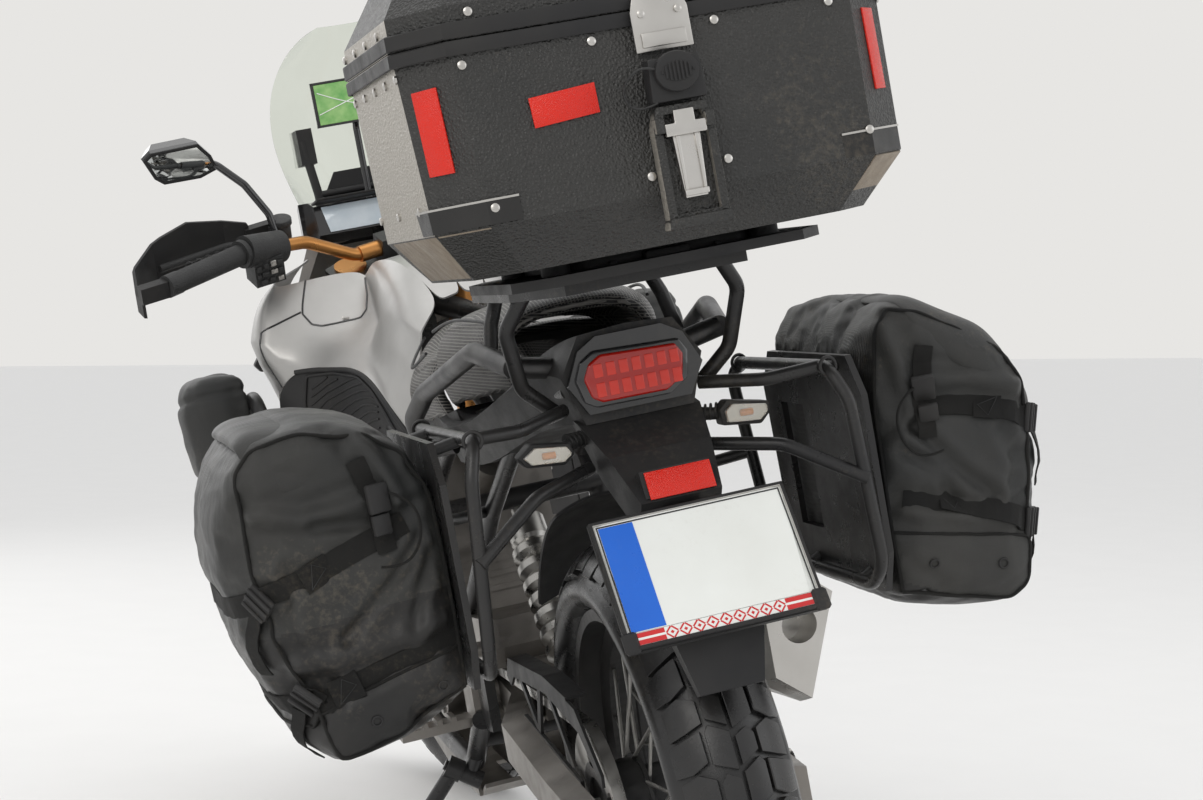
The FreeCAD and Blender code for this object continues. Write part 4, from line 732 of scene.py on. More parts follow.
rearRivets = [(192, 1236), (188, 1090), (55, 1238), (-78, 1239), (21, 1092), (-63, 1096), (-205, 1238),
              (-222, 1099)]
sideRivets = [(1120, 1236), (1186, 1236), (1150, 1100), (1050, 1236), (980, 1236), (910, 1236), (900, 1100),
              (1020, 1100)]
places = [(caseWall(x - case["centre"], z), (0, 1, 0.07)) for x, z in rearRivets]
places += [(caseWall(side, z, 0.0, y), (side, 0, 0)) for side in (1, -1) for y, z in sideRivets]
boltSet("caseRivets", places, case["rivet"] / 1000, "brushedAlloy", kind="rivet", height=0.0022)
lidPlaces = [(mm(case["centre"] + side * 266, y, 1287), (side, 0, 0)) for side in (1, -1)
             for y in (900, 975, 1050, 1130)]
lidPlaces += [(mm(case["centre"] + side * x, 1236, 1288), (0, 1, 0)) for side in (1, -1) for x in (70, 190)]
boltSet("lidRivets", lidPlaces, case["rivet"] / 1000, "brushedAlloy", "case_lid", "rivet", 0.0022)


# The black extrusions that frame the seam between body and lid
def caseRing(name, zLow, zHigh, grow, body):
    half, bevel = case["half"] + 4 + grow, case["bevel"]
    rear, front = case["rear"] - 14 + grow, case["front"] - grow
    outline = [(half, front + bevel), (half, rear - bevel), (half - bevel, rear), (bevel - half, rear),
               (-half, rear - bevel), (-half, front + bevel), (bevel - half, front), (half - bevel, front)]
    rows = [[mm(x, y, z) for x, y in outline] for z in (zLow, zLow + 1.2, zHigh - 1.2, zHigh)]
    for row in (rows[0], rows[-1]):
        for index, (x, y, z) in enumerate(row):
            row[index] = (x * 0.996, 1.05 + (y - 1.05) * 0.996, z)
    rows = [[(x + case["centre"] / 1000, y, z) for x, y, z in row] for row in rows]
    return settle(netPiece(name, rows, 0.0012, -1.0, True), "mouldedBlack", body)


caseRing("caseRimLower", 1246.5, 1261.4, 4.6, "frame")
caseRing("caseRimUpper", 1263.6, 1280.0, 4.6, "case_lid")


# Caps on the lower corners: dark plate round the bevel with a bright upper edge, and a bare alloy chamfer
def cornerCap(side):
    def row(z, proud):
        points = [caseWall(side, z, proud, caseRear(z) - case["bevel"] - 66 + (1098 - z) * 0.4)]
        points.append(caseWall(side, z, proud, caseRear(z) - case["bevel"]))
        points += [caseWall(side * x, z, proud) for x in (caseHalf(z) - 25, caseHalf(z) - case["bevel"], 176)]
        return points
    cap = netPiece("cornerCap", [row(z, 0.1) for z in (1074, 1086, 1099)], 0.0016, 1.0)
    edge = netPiece("cornerEdge", [row(z, 1.5) for z in (1097.6, 1099.8)], 0.0007, 1.0)
    return cleaned(cap), cleaned(edge)


caps = [cornerCap(side) for side in (1, -1)]
settle(joined("caseCornerCaps", [cap for cap, edge in caps]), "bagBase")
settle(joined("caseCornerEdges", [edge for cap, edge in caps]), "brushedAlloy")


def chamferPlate(side):
    rows = []
    for z in (1071.5, 1048, 1023):
        corner = caseRear(z) - case["bevel"]
        rows.append([caseWall(side, z, 0.2, y) for y in (930, 1010, 1090, corner - 1)]
                    + [caseWall(side * (caseHalf(z) - inward), z, 0.2) for inward in (2, 25, 48)])
    return cleaned(netPiece("chamfer", rows, 0.0014, 1.0))


settle(joined("caseChamfers", [chamferPlate(side) for side in (1, -1)]), "dustyPlate")

# Over-centre latch: a housing with a channel, the pale lever, the lock with its cap, and the hook plate above
latch = {"centre": -18, "setIn": 3}


def latchAt(x, z, proud):
    return mm(latch["centre"] + x, case["rear"] - latch["setIn"] + proud, z)


def raised(name, corners, low, high, bevel):
    outline = [latchAt(x, z, low) for x, z in corners]
    return outlinePlate(name, outline, (0, (high - low) / 1000, 0), bevel / 1000)


housing = raised("housing", [(-33, 1040), (33, 1040), (33, 1138), (27, 1160), (-27, 1160), (-33, 1138)], 0,
                 19, 2)
sunkFront(housing, 0.007, 0.008)
shelf = raised("shelf", [(-36, 1034), (36, 1034), (33, 1046), (-33, 1046)], 0, 23, 2)
ears = [raised("ear", [(x - 5, 1132), (x + 5, 1132), (x + 5, 1148), (x - 5, 1148)], 8, 25, 1.5)
        for x in (-27, 27)]
settle(joined("latchHousing", [housing, shelf] + ears), "caseCoat", replaced=["case_latch"])
leverBody = raised("lever", [(-12, 1064), (12, 1064), (15, 1130), (-15, 1130)], 12, 20, 1)
leverRidges = [raised("ridge", [(x - 1.5, 1068), (x + 1.5, 1068), (x + 2, 1128), (x - 2, 1128)], 19.5, 22,
                      0.6) for x in (-10, 10)]
leverHead = raised("leverHead", [(-22, 1128), (22, 1128), (22, 1141), (11, 1141), (11, 1154), (-11, 1154),
                                 (-11, 1141), (-22, 1141)], 14, 24, 1.2)
leverFoot = raised("leverFoot", [(-13, 1066), (13, 1066), (13, 1072), (-13, 1072)], 19, 24, 1)
settle(joined("latchLever", [leverBody, leverHead, leverFoot] + leverRidges), "brushedAlloy")
lockBody = raised("lock", [(-30, 1163), (30, 1163), (28, 1208), (-28, 1208)], 0, 22, 3)
capBase = rod("cap", latchAt(0, 1192, 22), latchAt(0, 1192, 31), 0.021, 28, 0.003)
capBase.data.transform(Matrix.Diagonal((1.15, 1.0, 1.0, 1.0)) @ Matrix.Translation((0.0025, 0, 0)))
knurls = []
for step in range(-4, 5):
    x = step * 4.2
    reach = math.sqrt(max(0.0, 17 ** 2 - x ** 2)) * 0.6
    knurls.append(block("knurl", latchAt(x - 1.3, 1192 - reach, 30.5), latchAt(x + 1.3, 1192 + reach, 32.5),
                        0.0005, 1))
settle(joined("caseLock", [lockBody, capBase] + knurls), "mouldedBlack")
loopPoints = [latchAt(x, z, y) for x, z, y in ((20, 1196, 27), (34, 1202, 28), (48, 1196, 24), (56, 1184, 14),
                                               (54, 1170, 9), (46, 1162, 10), (34, 1160, 16), (24, 1164, 21))]
settle(curveTube("lockLoop", loopPoints, 0.0013, 6), "gripRubber", smooth=60)
hook = outlinePlate("hookPlate", [mm(latch["centre"] + x, 1246.5, z) for x, z in (
    (-31, 1217), (31, 1217), (31, 1258), (26, 1274), (-26, 1274), (-31, 1258))], (0, 0.003, 0), 0.001)
step = outlinePlate("hookStep", [mm(latch["centre"] + x, 1249, z) for x, z in (
    (-24, 1221), (24, 1221), (24, 1236), (-24, 1236))], (0, 0.004, 0), 0.001)
hookBolts = [boltHead(mm(latch["centre"] + x, 1249.5, 1256), (0, 1, 0), 0.004, 0.002, "rivet")
             for x in (-20, 20)]
settle(joined("lidHookPlate", [hook, step] + hookBolts), "brushedAlloy", "case_lid")
print("case details made")


# A point between the rows of a net, s along a row and t from the first row to the last
def netPoint(rows, s, t):
    column, line = s * (len(rows[0]) - 1), t * (len(rows) - 1)
    c, r = min(int(column), len(rows[0]) - 2), min(int(line), len(rows) - 2)
    upper = Vector(rows[r][c]).lerp(Vector(rows[r][c + 1]), column - c)
    lower = Vector(rows[r + 1][c]).lerp(Vector(rows[r + 1][c + 1]), column - c)
    return upper.lerp(lower, line - r)


# Lines of a net kept sharp under subdivision, by row and, down to lastRow, by column, each with its weight
def sharpened(piece, rows, lastRow, rowWeights, columnWeights):
    crease = piece.data.attributes.new("crease_edge", "FLOAT", "EDGE")
    where = {}
    for r, row in enumerate(rows):
        for c, place in enumerate(row):
            where[tuple(round(v * 1e5) for v in place)] = (r, c)
    found = [where.get(tuple(round(v * 1e5) for v in vertex.co)) for vertex in piece.data.vertices]
    for edge in piece.data.edges:
        first, second = found[edge.vertices[0]], found[edge.vertices[1]]
        if first and second and first[0] == second[0]:
            crease.data[edge.index].value = rowWeights.get(first[0], 0.0)
        elif first and second and first[1] == second[1]:
            if max(first[0], second[0]) <= lastRow:
                crease.data[edge.index].value = columnWeights.get(first[1], 0.0)
    return piece


# The place and normal on a finished surface nearest to each step of a path
def nearestOn(surface, points, steps):
    path = [Vector(start).lerp(Vector(end), step / steps) for start, end in zip(points, points[1:])
            for step in range(steps)]
    return [surface.closest_point_on_mesh(point)[1:3] for point in path + [Vector(points[-1])]]


def laidOn(surface, points, proud, steps=4):
    return [place + normal * proud for place, normal in nearestOn(surface, points, steps)]


def outwards(piece, centre):
    centre = Vector(centre)
    total = sum((face.center - centre).dot(face.normal) * face.area for face in piece.data.polygons)
    if total < 0:
        piece.data.flip_normals()
    return piece


# Body panels: columns from the nose to the seat, each from its top edge down, in millimetres
body = {"shellThickness": 0.003, "seamRadius": 0.0017, "ribRadius": 0.0016, "ribCount": 12}
flankColumns = [[(150, -560, 1076), (206, -560, 1030), (214, -560, 960), (210, -560, 925), (204, -560, 895),
                 (196, -560, 868)],
                [(166, -430, 1066), (262, -430, 1030), (290, -430, 950), (284, -430, 905), (272, -430, 860),
                 (262, -430, 820)],
                [(262, -300, 1042), (294, -284, 1014), (314, -268, 952), (307, -262, 915), (296, -258, 888),
                 (288, -256, 862)],
                [(240, -300, 1034), (270, -266, 988), (288, -250, 944), (272, -238, 918), (262, -232, 904),
                 (252, -228, 893)],
                [(196, -300, 1036), (216, -268, 990), (240, -246, 946), (236, -226, 916), (230, -214, 902),
                 (226, -206, 893)],
                [(150, -302, 1038), (164, -266, 988), (186, -236, 948), (196, -206, 918), (200, -190, 902),
                 (202, -178, 889)],
                [(108, -302, 1036), (112, -258, 976), (132, -214, 944), (152, -176, 920), (166, -146, 902),
                 (176, -112, 886)],
                [(96, -296, 1026), (98, -240, 990), (104, -180, 950), (126, -150, 922), (146, -100, 894),
                 (162, -54, 871)],
                [(86, -250, 1046), (97, -176, 1014), (112, -112, 966), (124, -80, 926), (138, -38, 874),
                 (149, -4, 831)],
                [(71, -150, 1050), (88, -88, 1010), (104, -38, 960), (117, 0, 908), (130, 28, 844),
                 (139, 38, 798)],
                [(52, -60, 1018), (76, -10, 982), (95, 30, 942), (106, 58, 890), (115, 68, 822),
                 (123, 55, 762)],
                [(38, 24, 972), (64, 52, 950), (85, 72, 930), (98, 86, 880), (108, 92, 815),
                 (113, 60, 738)]]
flankRows = [[mm(*column[line]) for column in flankColumns] for line in range(6)]
topRows = [[(x / 1000 * share, y / 1000, (z + (1 - share) * 8) / 1000) for x, y, z in
            [column[0] for column in flankColumns[7:]]] for share in (1.0, 0.7, 0.35, 0.0)]


def silverHalf(side):
    flank = netPiece("flank", flankRows)
    sharpened(flank, flankRows, 3, {2: 0.85, 3: 0.5, 4: 0.7}, {3: 0.55, 7: 0.75, 8: 0.35})
    subdivided(flank, 3)
    outwards(flank, (0.0, -0.2, 0.9))
    if side == 0:
        return flank
    walled(flank, body["shellThickness"])
    top = netPiece("top", topRows)
    subdivided(top, 2)
    facing(top, (0, 0, 1))
    walled(top, body["shellThickness"])
    half = joined("bodyHalf", [flank, top])
    if side < 0:
        half.data.transform(mirrored)
        half.data.flip_normals()
    return half


leftShell = silverHalf(1)
flankSkin = silverHalf(0)
seams = [[(196, -300, 1037), (212, -270, 1000), (216, -262, 985), (206, -248, 966), (190, -246, 957),
          (150, -240, 955), (122, -234, 952), (108, -240, 964), (100, -262, 990), (98, -290, 1020)],
         [(290, -262, 966), (262, -262, 974), (218, -264, 988)],
         [(290, -262, 966), (296, -258, 930), (288, -254, 890), (280, -252, 866)]]
seamTubes = [curveTube("seam", laidOn(flankSkin, [mm(*p) for p in seam], 0.0002), body["seamRadius"], 3)
             for seam in seams]
rightSeams = [copied(tube, mirrored) for tube in seamTubes]
settle(joined("bodySeams", seamTubes + rightSeams), "glossBlack", smooth=60)
trimPlace = laidOn(flankSkin, [mm(150, -240, 962), mm(158, -242, 964)], 0.0, 1)
bpy.data.objects.remove(flankSkin)
rightShell = silverHalf(-1)
capRing = rod("cap", (0, -0.15, 1.048), (0, -0.15, 1.064), 0.038, 40, 0.002)
settle(joined("fuelCap", [capRing]), "darkAlloy")
capBolts = [((0.03 * math.cos(a), -0.15 + 0.03 * math.sin(a), 1.064), (0, 0, 1)) for a in
            [math.radians(60 * step) for step in range(6)]]
boltSet("fuelCapBolts", capBolts, 0.0028, "steel")
settle(joined("bodyShell", [leftShell, rightShell]), "satinSilver", smooth=42,
       replaced=["tank_cover", "fairings"])

# The ribbed black insert under the wing, its raised border, and the strip along the panel's edge
insertRows = [[column[5] for column in flankColumns[2:11]],
              [(284, -262, 812), (262, -232, 838), (240, -218, 838), (212, -186, 836), (190, -112, 832),
               (174, -54, 822), (154, -4, 800), (141, 36, 776), (124, 54, 750)],
              [(276, -262, 770), (262, -234, 765), (242, -222, 762), (216, -190, 758), (192, -116, 754),
               (174, -60, 750), (154, -8, 746), (139, 34, 742), (122, 52, 738)]]
insertRows = [[Vector(mm(*p)) + Vector((-0.002, -0.001, 0.001)) for p in row] for row in insertRows]
insert = subdivided(netPiece("insert", insertRows), 2)
outwards(insert, (0.0, -0.2, 0.8))
ribs = []
for step in range(body["ribCount"]):
    line = []
    for share in range(9):
        s, t = 0.26 + 0.055 * share, 0.30 + 0.115 * step - 0.085 * share
        if 0.1 < t < 0.96:
            line.append(netPoint(insertRows, s, t))
    if len(line) > 2:
        ribs.append(curveTube("rib", laidOn(insert, line, 0.0006, 2), body["ribRadius"], 2))
border = [netPoint(insertRows, s, t)
          for s, t in ((0.22, 0.97), (0.21, 0.5), (0.21, 0.1), (0.4, 0.07), (0.56, 0.08), (0.66, 0.14),
                       (0.75, 0.3), (0.85, 0.6), (0.94, 0.95))]
ribs.append(curveTube("border", laidOn(insert, border, 0.001), 0.0028, 3))
strip = [Vector(p) + Vector((0.001, 0.001, -0.002)) for p in insertRows[0][1:]] + [Vector(mm(113, 62, 736))]
ribs.append(curveTube("strip", strip, 0.0042, 4))
walled(insert, 0.0025)
withMirror("sideInsertNew", joined("insertLeft", [insert] + ribs))
settle(bpy.context.object, "mouldedBlack", smooth=50, replaced=["side_inserts"])
trimCorners = ((-0.006, 0, -0.002), (0.006, 0, 0.001), (0.006, -0.001, 0.005), (-0.006, -0.001, 0.002))
slotTrim = outlinePlate("slotTrim", [trimPlace[0] + Vector(d) for d in trimCorners],
                        (0.0, 0.0022, 0.0008), 0.0004)
settle(slotTrim, "brushedAlloy")
print("body panels made")


# Seats: a vinyl base with a knitted mesh cover stretched over it
seatLook = {"riderRows": [
    (60, [(0, 946), (40, 942), (76, 918), (98, 870), (104, 822)]),
    (110, [(0, 934), (56, 930), (98, 904), (120, 862), (118, 815)]),
    (200, [(0, 908), (76, 906), (128, 886), (146, 850), (132, 806)]),
    (320, [(0, 908), (88, 908), (146, 890), (164, 852), (142, 812)]),
    (440, [(0, 934), (88, 932), (144, 914), (160, 872), (136, 826)])],
    "pillionRows": [
    (448, [(0, 958), (80, 956), (130, 942), (150, 896), (130, 840)]),
    (540, [(0, 972), (80, 970), (128, 956), (146, 910), (124, 846)]),
    (640, [(0, 976), (74, 974), (118, 958), (134, 912), (110, 856)]),
    (718, [(0, 968), (62, 964), (98, 948), (112, 908), (92, 862)])],
    "meshHoles": 230.0}


def meshCover(name, holes):
    material = makeFinish(name, looks["seatVinyl"])
    shader = material.node_tree.nodes["Principled BSDF"]
    place = coordinates(material)
    threads = []
    for turn in ((0, 0, 0), (0, math.pi / 2, 0)):
        plane = addNode(material, "Mapping")
        plane.inputs["Rotation"].default_value = turn
        wire(material, place, plane.inputs["Vector"])
        cells = addNode(material, "TexVoronoi", feature="DISTANCE_TO_EDGE", voronoi_dimensions="2D")
        cells.inputs["Scale"].default_value = holes
        cells.inputs["Randomness"].default_value = 0.12
        wire(material, plane.outputs["Vector"], cells.inputs["Vector"])
        threads.append(mapped(material, cells.outputs["Distance"], 0.10, 0.2, 1.0, 0.0))
    split = addNode(material, "SeparateXYZ")
    wire(material, addNode(material, "TexCoord").outputs["Normal"], split.inputs[0])
    upward = mapped(material, calculated(material, "ABSOLUTE", split.outputs["Z"], 0.0), 0.66, 0.70)
    above = calculated(material, "MULTIPLY", threads[0], upward)
    beside = calculated(material, "MULTIPLY", threads[1], calculated(material, "SUBTRACT", 1.0, upward))
    thread = calculated(material, "ADD", above, beside)
    wire(material, blended(material, thread, (0.012, 0.012, 0.012), (0.20, 0.19, 0.175)),
         shader.inputs["Base Color"])
    old = shader.inputs["Normal"].links[0].from_socket
    wire(material, bumped(material, thread, 0.0016, 1.0, old), shader.inputs["Normal"])
    return material


finishes["seatMesh"] = meshCover("seatMesh", seatLook["meshHoles"])


def cushion(name, rows, finish, node, swell):
    lines = []
    for y, half in rows:
        left = [mm(x, y, z) for x, z in reversed(half)]
        right = [mm(-x, y, z) for x, z in half[1:]]
        lines.append(left + right)
    front = [(p[0] * 0.8, p[1] - 0.012, p[2] - 0.02) for p in lines[0]]
    back = [(p[0] * 0.9, p[1] + 0.010, p[2] - 0.012) for p in lines[-1]]
    net = netPiece(name, [front] + lines + [back])
    subdivided(net, 2)
    facing(net, (0, 0, 1))
    walled(net, 0.014, -1.0)
    evened(net, 0.006)
    modified(net, "SMOOTH", iterations=6)
    normals = [vertex.normal.copy() for vertex in net.data.vertices]
    for vertex, normal in zip(net.data.vertices, normals):
        vertex.co += normal * (swell * (0.6 + 0.8 * noise.noise(vertex.co * 14)))
    return settle(net, finish, smooth=60, replaced=[node])


cushion("riderSeat", seatLook["riderRows"], "seatMesh", "seat_rider", 0.001)
cushion("pillionSeat", seatLook["pillionRows"], "seatMesh", "seat_pillion", 0.001)
piping = []
for rows in (seatLook["riderRows"], seatLook["pillionRows"]):
    for side in (1, -1):
        path = [(side * (half[2][0] + 2) / 1000, y / 1000, (half[2][1] + 2) / 1000) for y, half in rows]
        piping.append(curveTube("piping", path, 0.0022, 8))
settle(joined("seatPiping", piping), "seatVinyl", smooth=60)


# Moulded covers below the seats, down to the tail's side panels
skirts = []
for side in (1, -1):
    rows = []
    for drop, pull in ((-6, 2), (18, 0), (46, 8), (74, 22)):
        line = [(108, 60, 822), (118, 110, 814), (132, 200, 806), (140, 320, 812), (138, 440, 824),
                (134, 520, 838)]
        rows.append([mm(side * (x - pull), y, z - drop * (1 - 0.10 * index))
                     for index, (x, y, z) in enumerate(line)])
    skirt = subdivided(netPiece("skirt", rows), 2)
    skirts.append(walled(facing(skirt, (side, 0, 0)), 0.003))
settle(joined("seatSkirts", skirts), "mouldedBlack", smooth=50)
trayRows = [[mm(x * share, y, z - (6 if abs(x) > 80 else 0)) for x in (-100, -84, -40, 0, 40, 84, 100)]
            for y, z, share in ((70, 800, 1.0), (160, 792, 1.05), (300, 794, 1.1), (440, 806, 1.15),
                                (560, 826, 1.1), (700, 850, 0.9))]
tray = subdivided(netPiece("seatTray", trayRows), 1)
settle(walled(facing(tray, (0, 0, 1)), 0.004), "mouldedBlack", smooth=50)
print("seats made")


# Tail lamp: red cover, the row of lit cells behind it, and the black surround
tail = {"cells": 7, "plateUp": (0, -0.5264, 0.8503), "plateNormal": (0, 0.8503, 0.5264),
        "plateTop": (0, 1.078, 0.727), "plateWidth": 0.220, "plateHeight": 0.148, "strip": 0.016}
lensOutline = [(64, 879), (56, 896), (41, 905), (-50, 901), (-58, 888), (-53, 862), (-32, 849), (46, 850),
               (58, 857)]
lens = outlinePlate("lens", [mm(x, 968, z) for x, z in lensOutline], (0, 0.008, 0), 0.003, 3)
settle(lens, "lampRed", smooth=40)
cellBlocks = []
for step in range(tail["cells"]):
    for low, high in ((856, 873), (879, 895)):
        x = 46 - step * 15.4
        if (low > 870 or x < 52) and x > -52:
            cellBlocks.append(block("cell", mm(x - 5.6, 974.0, low), mm(x + 5.6, 976.8, high), 0.0012, 2))
settle(joined("lampCells", cellBlocks), "lampCell")
rim = outlinePlate("rim", [mm(x * 1.14 + 0.5, 962, 877 + (z - 877) * 1.2) for x, z in lensOutline],
                   (0, 0.010, 0), 0.003)
settle(rim, "glossBlack")

# Indicators: clear faceted covers with an amber bulb and a bright dish behind
indicatorOutlines = {1: [(157, 806), (139, 820), (94, 812), (88, 799), (101, 788), (147, 793)],
                     -1: [(-90, 813), (-101, 823), (-152, 812), (-152, 799), (-139, 787), (-91, 794)]}
covers, dishes, bulbs = [], [], []
for side, outline in indicatorOutlines.items():
    middleX, middleZ = sum(x for x, z in outline) / 6, sum(z for x, z in outline) / 6
    inner = [(middleX + (x - middleX) * 0.82, middleZ + (z - middleZ) * 0.7) for x, z in outline]
    covers.append(outlinePlate("cover", [mm(x, 971, z) for x, z in inner], (0, 0.007, 0), 0.002, 2))
    dishes.append(outlinePlate("dish", [mm(x, 969.6, z) for x, z in inner], (0, 0.0016, 0), 0.0004, 1))
    bulbs.append(rod("bulb", mm(middleX - 8, 973.5, middleZ - 0.5), mm(middleX + 8, 973.5, middleZ + 0.5),
                     0.004, 12, 0.0015))
settle(joined("indicatorCovers", covers), "lampClear")
settle(joined("indicatorDishes", dishes), "brushedAlloy")
settle(joined("indicatorBulbs", bulbs), "amberLamp")
frames = []
for side, outline in indicatorOutlines.items():
    frames.append(outlinePlate("frame", [mm(x, 944, z) for x, z in outline], (0, 0.026, 0), 0.003))
    frames.append(rod("stalk", mm(side * 66, 942, 812), mm(side * 98, 956, 807), 0.0085, 20, 0.001, 0.007))
    for step in range(4):
        x = side * (72 + step * 6)
        frames.append(rod("rib", mm(x, 944 + step * 2.6, 811.5), mm(x + side * 2.4, 945 + step * 2.6, 811),
                          0.0102, 20, 0.0008))
    frontX = side * 250
    frames.append(outlinePlate("front", [mm(frontX + x, -616, 900 + z) for x, z in (
        (-30, 0), (-20, 14), (20, 14), (30, 0), (20, -14), (-20, -14))], (0, 0.026, 0), 0.003))
    frames.append(rod("frontStalk", mm(side * 150, -602, 900), mm(side * 224, -602, 900), 0.008, 20, 0.001))
settle(joined("indicatorBodies", frames), "mouldedBlack", replaced=["indicators"])

# The red block above the plate
blockCorners = [mm(x, y, z) for x, y, z in
                ((36, 1052.8, 770), (-42, 1052.8, 770), (-42, 1064.6, 740), (36, 1064.6, 740))]
settle(outlinePlate("plateReflector", blockCorners, (0, 0.0021, 0.0008), 0.0006), "redReflector")

# Plate: blank white sheet with a raised rim, a plain blue band, and the patterned strip under it
plateUp, plateOut = Vector(tail["plateUp"]), Vector(tail["plateNormal"])
plateTop = Vector(tail["plateTop"])


def onPlate(x, down, proud):
    return plateTop + Vector((x, 0, 0)) - plateUp * down + plateOut * proud


def platePatch(name, left, right, top, low, base, thickness, bevel=0.0002):
    corners = [onPlate(left, top, base), onPlate(right, top, base), onPlate(right, low, base),
               onPlate(left, low, base)]
    return outlinePlate(name, corners, plateOut * thickness, bevel, 1)


# Patches on the plate, each given by its left, right, top and lower edges
def platePatches(name, edges, base, thickness, bevel):
    return [platePatch(name, *four, base, thickness, bevel) for four in edges]


half, sheet = tail["plateWidth"] / 2, tail["plateHeight"] - tail["strip"]
corner = 0.010
rounded = []
for cx, cd, start, radius in ((half - corner, corner, 0, corner), (corner - half, corner, 90, corner),
                              (corner - half, sheet - 0.001, 180, 0.001),
                              (half - corner, sheet - 0.001, 270, 0.001)):
    for step in range(5):
        angle = math.radians(start + 90 * step / 4)
        rounded.append((cx + radius * math.cos(angle), cd - radius * math.sin(angle)))
face = outlinePlate("plateFace", [onPlate(x, d, -0.0008) for x, d in rounded], plateOut * 0.0010, 0.0003, 1)
settle(face, "plateWhite")
rimBars = platePatches("bar", ((-half + 0.002, half - 0.002, 0.0020, 0.0036),
                               (-half + 0.0020, -half + 0.0036, 0.002, sheet),
                               (half - 0.0036, half - 0.0020, 0.002, sheet)), 0.0, 0.0011, 0.0004)
settle(joined("plateRim", rimBars), "gripRubber")
band = platePatch("plateBand", half - 0.044, half - 0.0042, 0.0042, sheet - 0.001, 0.0002, 0.0006)
settle(band, "plateBlue")
low = sheet + tail["strip"] - 0.0006
stripBase = platePatch("stripBase", -half + 0.002, half - 0.002, sheet + 0.0006, low, -0.0004, 0.0008)
settle(stripBase, "plateWhite")
marks = []
for left, right in ((half - 0.040, half - 0.002), (-half + 0.002, -half + 0.040)):
    marks += platePatches("mark", ((left, right, sheet + 0.0010, sheet + 0.0064),
                                   (left, right, sheet + 0.0092, low - 0.0006)), 0.0003, 0.0004, 0.0001)

# A border of diamonds, each with a dot in its middle
middle = sheet + tail["strip"] / 2
stroke = {"shift": 0.0036, "length": 0.0062, "halfWidth": 0.0009}
for step in range(9):
    x = -0.062 + step * 0.0155
    for dx, dd in ((-stroke["shift"], -stroke["shift"]), (stroke["shift"], -stroke["shift"]),
                   (-stroke["shift"], stroke["shift"]), (stroke["shift"], stroke["shift"])):
        slope, reach = (1 if dx * dd > 0 else -1), stroke["length"] / 2
        across = Vector((slope, 1)).normalized() * stroke["halfWidth"]
        ends = [(x + dx - reach, middle + dd + slope * reach), (x + dx + reach, middle + dd - slope * reach)]
        quad = [(ends[0][0] - across.x, ends[0][1] - across.y),
                (ends[1][0] - across.x, ends[1][1] - across.y),
                (ends[1][0] + across.x, ends[1][1] + across.y),
                (ends[0][0] + across.x, ends[0][1] + across.y)]
        marks.append(outlinePlate("mark", [onPlate(u, d, 0.0003) for u, d in quad], plateOut * 0.0004))
    marks.append(outlinePlate("mark", [onPlate(x + u, middle + d, 0.0003) for u, d in (
        (0.0022, 0), (0, 0.0022), (-0.0022, 0), (0, -0.0022))], plateOut * 0.0004))
for mark in marks:
    cleaned(mark)
settle(joined("stripPattern", marks), "stripRed")
holder = platePatches("lip", ((-half - 0.0045, half + 0.0045, -0.0046, -0.0004),
                              (-half - 0.0046, -half - 0.0004, -0.0046, low + 0.004),
                              (half + 0.0004, half + 0.0046, -0.0046, low + 0.004)), -0.006, 0.0078, 0.0008)
holder.append(platePatch("lip", -half - 0.0045, half + 0.0045, low, low + 0.0044, -0.006, 0.0084, 0.0008))
clips = [platePatch("clip", side * half - 0.009, side * half + 0.009, sheet - 0.002, low + 0.008, -0.004,
                    0.008, 0.003) for side in (-1, 1)]
settle(joined("plateHolder", holder + clips), "mouldedBlack")
lining = platePatches("lining", ((-half - 0.0006, half + 0.0006, -0.0012, 0.0001),
                                 (half - 0.0001, half + 0.0011, -0.001, sheet),
                                 (-half - 0.0011, -half + 0.0001, -0.001, sheet)), -0.001, 0.0026, 0.0003)
settle(joined("plateLining", lining), "brushedAlloy")


# Carrier plate between the case's feet and the rack, and the splash guard ahead of the rear wheel
carrierOutline = ((-96, 888), (96, 888), (112, 910), (112, 1096), (88, 1122), (-88, 1122), (-112, 1096),
                  (-112, 910))
carrier = outlinePlate("carrier", [mm(x - 14.5, y, 1005) for x, y in carrierOutline], (0, 0, 0.0145), 0.004)
carrierRibs = [block("rib", mm(x - 18.5, 880, 1000), mm(x - 10.5, 1130, 1012), 0.002)
               for x in (-60, -20, 20, 60)]
carrierRibs.append(block("latchTab", mm(-40, 1118, 1002), mm(11, 1138, 1016), 0.004))
settle(joined("caseCarrier", [carrier] + carrierRibs), "mouldedBlack")
guardRows = []
for step in range(9):
    angle = math.radians(14 + step * 5)
    y, z = 787.5 - 392 * math.sin(angle), 333 + 392 * math.cos(angle)
    guardRows.append([mm(x, y + (3 if abs(x) > 60 else 0), z - 0.004 * x * x)
                      for x in (-66, -58, -30, 0, 30, 58, 66)])
guard = subdivided(netPiece("splashGuard", guardRows), 1)
settle(walled(facing(guard, (0, 0, 1)), 0.003), "mouldedBlack", smooth=50)
print("tail made")


